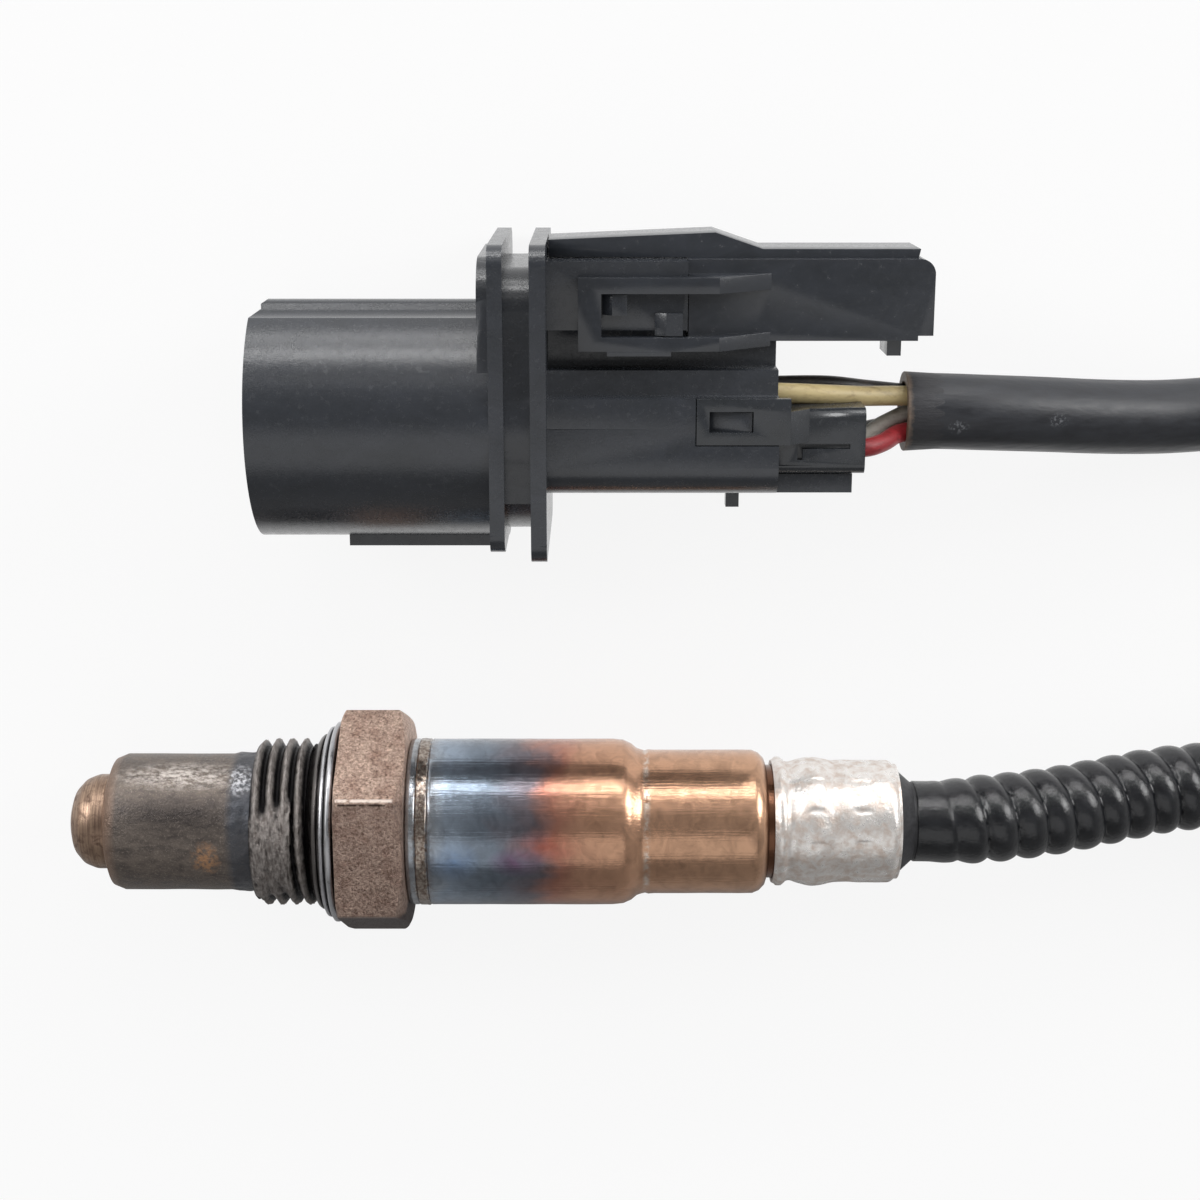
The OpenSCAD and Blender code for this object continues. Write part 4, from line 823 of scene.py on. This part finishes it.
sleeve_profile = ([(sleeve_x0, sleeve_r - sleeve_wall), (sleeve_x0, sleeve_r - 0.1),
                   (sleeve_x0 + 0.15, sleeve_r), (weld_from - 0.15, sleeve_r),
                   (weld_from - 0.02, sleeve_r - 0.12)]
                  + [(weld_from + 0.1 + 0.1 * i, sleeve_r + 0.03) for i in range(11)]
                  + [(weld_to + 0.02, sleeve_r - 0.12), (weld_to + 0.15, sleeve_r)]
                  + [(sleeve_x0 + 3 + 2 * i, sleeve_r) for i in range(9)]
                  + [(step_x0 - 1.6, sleeve_r), (step_x0 - 0.5, sleeve_r - 0.12),
                     (step_x0 + 0.35, sleeve_r - 0.5), (step_x0 + 0.95, sleeve_r - 1.0),
                     (step_x1 - 0.1, top_r + 0.05), (step_x1 + 0.35, top_r - 0.06),
                     (step_x1 + 0.7, top_r + 0.05), (step_x1 + 1.3, top_r)]
                  + [(step_x1 + 2.5 + 2 * i, top_r) for i in range(5)]
                  + [(top_x1 - 1.4, top_r - 0.02), (top_x1 - 0.7, top_r - 0.3), (top_x1 - 0.15, top_r - 0.85),
                     (top_x1, neck_r + 0.35), (top_x1 + 0.1, neck_r), (neck_x1, neck_r),
                     (neck_x1, neck_r - sleeve_wall), (top_x1 - 0.6, neck_r - sleeve_wall),
                     (top_x1 - 1.2, top_r - sleeve_wall), (step_x1 + 0.4, top_r - sleeve_wall),
                     (step_x0, sleeve_r - sleeve_wall)])
sleeve_bm = ring_of(sleeve_profile, steps=160)
uneven(sleeve_bm, 0.1, 1.8, lambda x, r: r > sleeve_r and weld_from < x < weld_to)
uneven(sleeve_bm, 0.03, 0.3, lambda x, r: x > weld_to + 0.4)
made(sleeve_bm, "heat_tinted_sleeve", heat_tint, "sleeve_steel", "protective_sleeve", crease=60)


# Crimp sleeve. Bright steel pressed round the boot by segmented jaws, which leave two waves, a
# lip at its front and small square marks between them.
crimp_x0, crimp_x1 = ends_of("crimp_sleeve")
crimp_long = crimp_x1 - crimp_x0
crimp_r, crimp_wall = 6.7, 0.5
crimp_steps = 56
jaws = 12
lip_x, groove_x = 0.75, 1.85
wave_from, wave_long, wave_to = 2.0, 4.9, 11.8
mark_places = (4.4, 9.3)
drawn_in = 0.9

crimp_bright = Finish("crimp_bright", tone(235, 228, 222), 0.3, metal=0.7)
wipes = crimp_bright.cloud(0.9, 7, twist=0.3)
stains = crimp_bright.cloud(2.6, 5)
crimp_colour = crimp_bright.over(crimp_bright.ranged(wipes, 0.42, 0.62),
                                 tone(236, 232, 228), tone(212, 198, 188))
crimp_colour = crimp_bright.over(crimp_bright.ranged(stains, 0.64, 0.8), crimp_colour, tone(176, 150, 134))
crimp_bright.set("Base Color", crimp_colour)
crimp_bright.set("Roughness", crimp_bright.ranged(wipes, 0.3, 0.7, 0.24, 0.44))
crimp_bright.relief(crimp_bright.cloud(1.6, 6), 0.07)

crimp_profile = [(crimp_x0 + crimp_long * i / crimp_steps, crimp_r) for i in range(crimp_steps + 1)]
crimp_profile += [(crimp_x1, crimp_r - crimp_wall), (crimp_x0, crimp_r - crimp_wall)]
crimp_bm = ring_of(crimp_profile, steps=192)
for v in crimp_bm.verts:
    x, radius = v.co.x / MM - crimp_x0, math.hypot(v.co.y, v.co.z) / MM
    if radius < crimp_r - 0.1:
        continue
    turn = math.atan2(v.co.y, v.co.z)
    lip = 0.38 * math.exp(-((x - lip_x) / 0.5) ** 4) - 0.16 * math.exp(-((x - groove_x) / 0.5) ** 2)
    waves = 0.4 * max(0.0, math.sin(math.pi * (x - wave_from) / wave_long)) ** 2
    waves = waves if wave_from < x < wave_to else 0.0
    jaw_gap = max(0.0, math.cos(jaws * turn)) ** 10
    marks = 0.12 * jaw_gap * sum(math.exp(-((x - at) / 0.9) ** 4) for at in mark_places)
    end = 0.75 * max(0.0, (x - (crimp_long - drawn_in)) / drawn_in) ** 1.6
    knocks = 0.1 * noise.noise(v.co / MM * 0.55)
    radius = crimp_r - 0.1 + lip + waves - marks - end + knocks
    v.co.yz = Vector((math.sin(turn), math.cos(turn))) * radius * MM
made(crimp_bm, "crimp_ring", crimp_bright, "crimp_steel", "crimp_sleeve", crease=50)


# Boot. Moulded black rubber that seals the leads, clamped in the crimp, with a short cone that
# enters the hose. It keeps its own solid.
boot_black = Finish("boot_black", tone(36, 36, 39), 0.5)
boot_black.set("Base Color", boot_black.shades(boot_black.cloud(1.2, 5), (0.3, tone(26, 26, 29)),
                                               (0.7, tone(48, 48, 51))))
boot_black.relief(boot_black.cloud(2.4, 5), 0.06)
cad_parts["hose_boot"].data.materials[0] = boot_black.material


# Plug. Three mouldings of black glass-filled plastic: the housing with its D-shaped shroud, double
# flange and chambers, the slide clipped on its side block, and the rear lock.
plug_y, plug_z = 45, 1.4
shroud_r, socket_r = 12.4, 11.2
socket_end = 16.6


def moulded_black(name, dark, light, roughness, grain_depth):
    """Black moulded plastic: a fine grain, faint flow marks and rubbed places."""
    plastic = Finish(name, dark, roughness, shine=0.8)
    flow = plastic.cloud(0.22, 6, (1, 1.6, 1), twist=0.8)
    rubbed = plastic.cloud(1.6, 7)
    shade = plastic.over(plastic.ranged(flow, 0.35, 0.7), dark, light)
    shade = plastic.over(plastic.times(plastic.ranged(rubbed, 0.6, 0.78), 0.2), shade, tone(96, 97, 100))
    plastic.set("Base Color", shade)
    plastic.set("Roughness", plastic.ranged(rubbed, 0.3, 0.75, roughness - 0.07, roughness + 0.07))
    plastic.relief(plastic.over(0.4, plastic.cloud(7, 3), plastic.cloud(1.8, 5)), grain_depth)
    return plastic


housing_black = moulded_black("plug_black", tone(39, 42, 47), tone(47, 50, 56), 0.25, 0.02)
slide_black = moulded_black("slide_black", tone(38, 41, 46), tone(46, 49, 55), 0.22, 0.012)
lock_black = moulded_black("lock_black", tone(35, 38, 42), tone(43, 46, 51), 0.25, 0.012)


def outside_plug(ends):
    """Not an edge inside the socket, the chambers or the latch pockets."""
    return all(math.hypot(p.y - plug_y, p.z - plug_z) > socket_r or p.x > socket_end for p in ends)


def on_outer_body(ends):
    """An edge that is felt from outside, and long enough to round."""
    chambers_r = 6.5
    middle = sum(ends, Vector()) / 2
    deep = math.hypot(middle.y - plug_y, middle.z - plug_z) < chambers_r
    return outside_plug(ends) and not deep and (ends[0] - ends[1]).length > 0.55


plug_bm = copy_of("plug_housing")
soften(plug_bm, 0.18, on_outer_body)
plug_body = made(plug_bm, "plug_body", housing_black, "plug_plastic", "plug_housing", crease=25)

# The shroud's facets are shaded as the round that they stand for
radius_slack, slope_slack, same_way = 0.03, 0.02, 0.99
body_mesh = plug_body.data
corner_normals = [corner.vector.copy() for corner in body_mesh.corner_normals]
for face in body_mesh.polygons:
    if abs(face.normal.x) > slope_slack:
        continue
    for i in face.loop_indices:
        corner = body_mesh.vertices[body_mesh.loops[i].vertex_index].co / MM
        outwards = Vector((0, corner.y - plug_y, corner.z - plug_z))
        on_round = abs(outwards.length - shroud_r) < radius_slack
        if on_round and outwards.normalized().dot(face.normal) > same_way:
            corner_normals[i] = outwards.normalized()
body_mesh.normals_split_custom_set(corner_normals)


def long_enough(ends):
    """An edge that is long enough to round."""
    return (ends[0] - ends[1]).length > 0.6


slide_bm = copy_of("mounting_slide")
soften(slide_bm, 0.2, long_enough)
slide_body = made(slide_bm, "slide_body", slide_black, "slide_plastic", "mounting_slide", crease=32)

lock_bm = copy_of("rear_lock")
soften(lock_bm, 0.15, long_enough)
lock_body = made(lock_bm, "lock_body", lock_black, "lock_plastic", "rear_lock", crease=32)


# Wires. Five insulated strands cross from the chambers at the back of the plug to the cut end of
# the sheath: the upper ones above the rear lock and the lower ones out of it.
def insulation(name, colour, darker):
    """Drawn plastic insulation with a little handling dirt."""
    skin = Finish(name, colour, 0.42)
    dirt_and_painted_shade = skin.cloud(1.6, 5, (0.4, 1, 1))
    skin.set("Base Color", skin.over(skin.ranged(dirt_and_painted_shade, 0.5, 0.75), colour, darker))
    skin.relief(skin.cloud(4, 3, (0.3, 1, 1)), 0.03)
    return skin


wire_spacing = 0.5
wire_routes = {
    "yellow": (2.05, (188, 170, 124), (146, 124, 88),
               [(32, 47.85, 5.8), (44, 47.85, 5.8), (48, 47.75, 5.7), (52, 47.5, 5.0), (56, 47.1, 3.4),
                (59, 46.9, 2.0), (61.6, 46.8, 1.4)]),
    "black": (1.7, (48, 44, 42), (84, 70, 58),
              [(32, 47.85, 1.4), (44, 47.85, 1.4), (48, 48.0, 1.3), (53, 47.9, 0.6), (57, 47.3, -0.6),
               (61.6, 46.7, -1.5)]),
    "red": (1.9, (150, 40, 46), (104, 26, 30),
            [(32, 42.15, 5.8), (50, 42.15, 5.8), (56.3, 42.2, 5.6), (58.4, 42.5, 4.2), (60, 43.0, 2.4),
             (61.6, 43.2, 1.6)]),
    "white": (1.8, (206, 202, 192), (160, 150, 138),
              [(32, 42.15, 1.4), (50, 42.15, 1.4), (56.3, 42.4, 1.4), (58.6, 43.7, 1.0), (61.6, 45, 0.1)]),
    "grey": (1.8, (128, 124, 118), (84, 78, 72),
             [(32, 42.15, -3.0), (50, 42.15, -3.0), (56.3, 42.3, -3.0), (58.6, 42.9, -2.4),
              (61.6, 43.3, -1.6)]),
}
for colour, (wire_d, light, dark, points) in wire_routes.items():
    skin = insulation("insulation_" + colour, tone(*light), tone(*dark))
    tube_along(colour + "_wire", laid_route(points, wire_spacing), wire_d, skin,
                            "wire_" + colour, "wire_" + colour)


# Inner pieces. They keep their solids, and get plain finishes of what they are made of: fired
# ceramic, pressed powder, sprung and tinned metal, soft rubber.
def plain_finish(name, colour, roughness, metal=0.0, scale=2.0, depth=0.03):
    """A finish with a faint darker mottle."""
    finish = Finish(name, colour, roughness, metal)
    mottle = finish.cloud(scale, 5)
    darker = tuple(0.72 * c for c in colour)
    finish.set("Base Color", finish.over(finish.ranged(mottle, 0.4, 0.7), colour, darker))
    finish.relief(mottle, depth)
    return finish


ceramic_white = plain_finish("ceramic_white", tone(226, 224, 216), 0.7)
inner_finishes = {
    "sensing_strip": plain_finish("strip_white", tone(232, 232, 228), 0.5, depth=0.01),
    "lower_ceramic_bush": ceramic_white,
    "powder_packing": plain_finish("pressed_powder", tone(196, 194, 184), 0.95, scale=8, depth=0.08),
    "upper_ceramic_bush": ceramic_white,
    "contact_carrier": plain_finish("ceramic_cream", tone(222, 214, 196), 0.65),
    "contact_springs": plain_finish("spring_gold", tone(206, 176, 110), 0.28, metal=1.0),
    "lead_grommet": plain_finish("grommet_white", tone(214, 214, 208), 0.5),
    "sensor_leads": plain_finish("lead_cream", tone(200, 196, 180), 0.45),
    "contact_blades": plain_finish("blade_tinned", tone(200, 196, 188), 0.25, metal=1.0),
    "wire_seals": plain_finish("seal_violet", tone(98, 88, 132), 0.55),
    "trim_resistor": plain_finish("resistor_green", tone(84, 116, 104), 0.6),
}
for node_name, finish in inner_finishes.items():
    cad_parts[node_name].data.materials[0] = finish.material
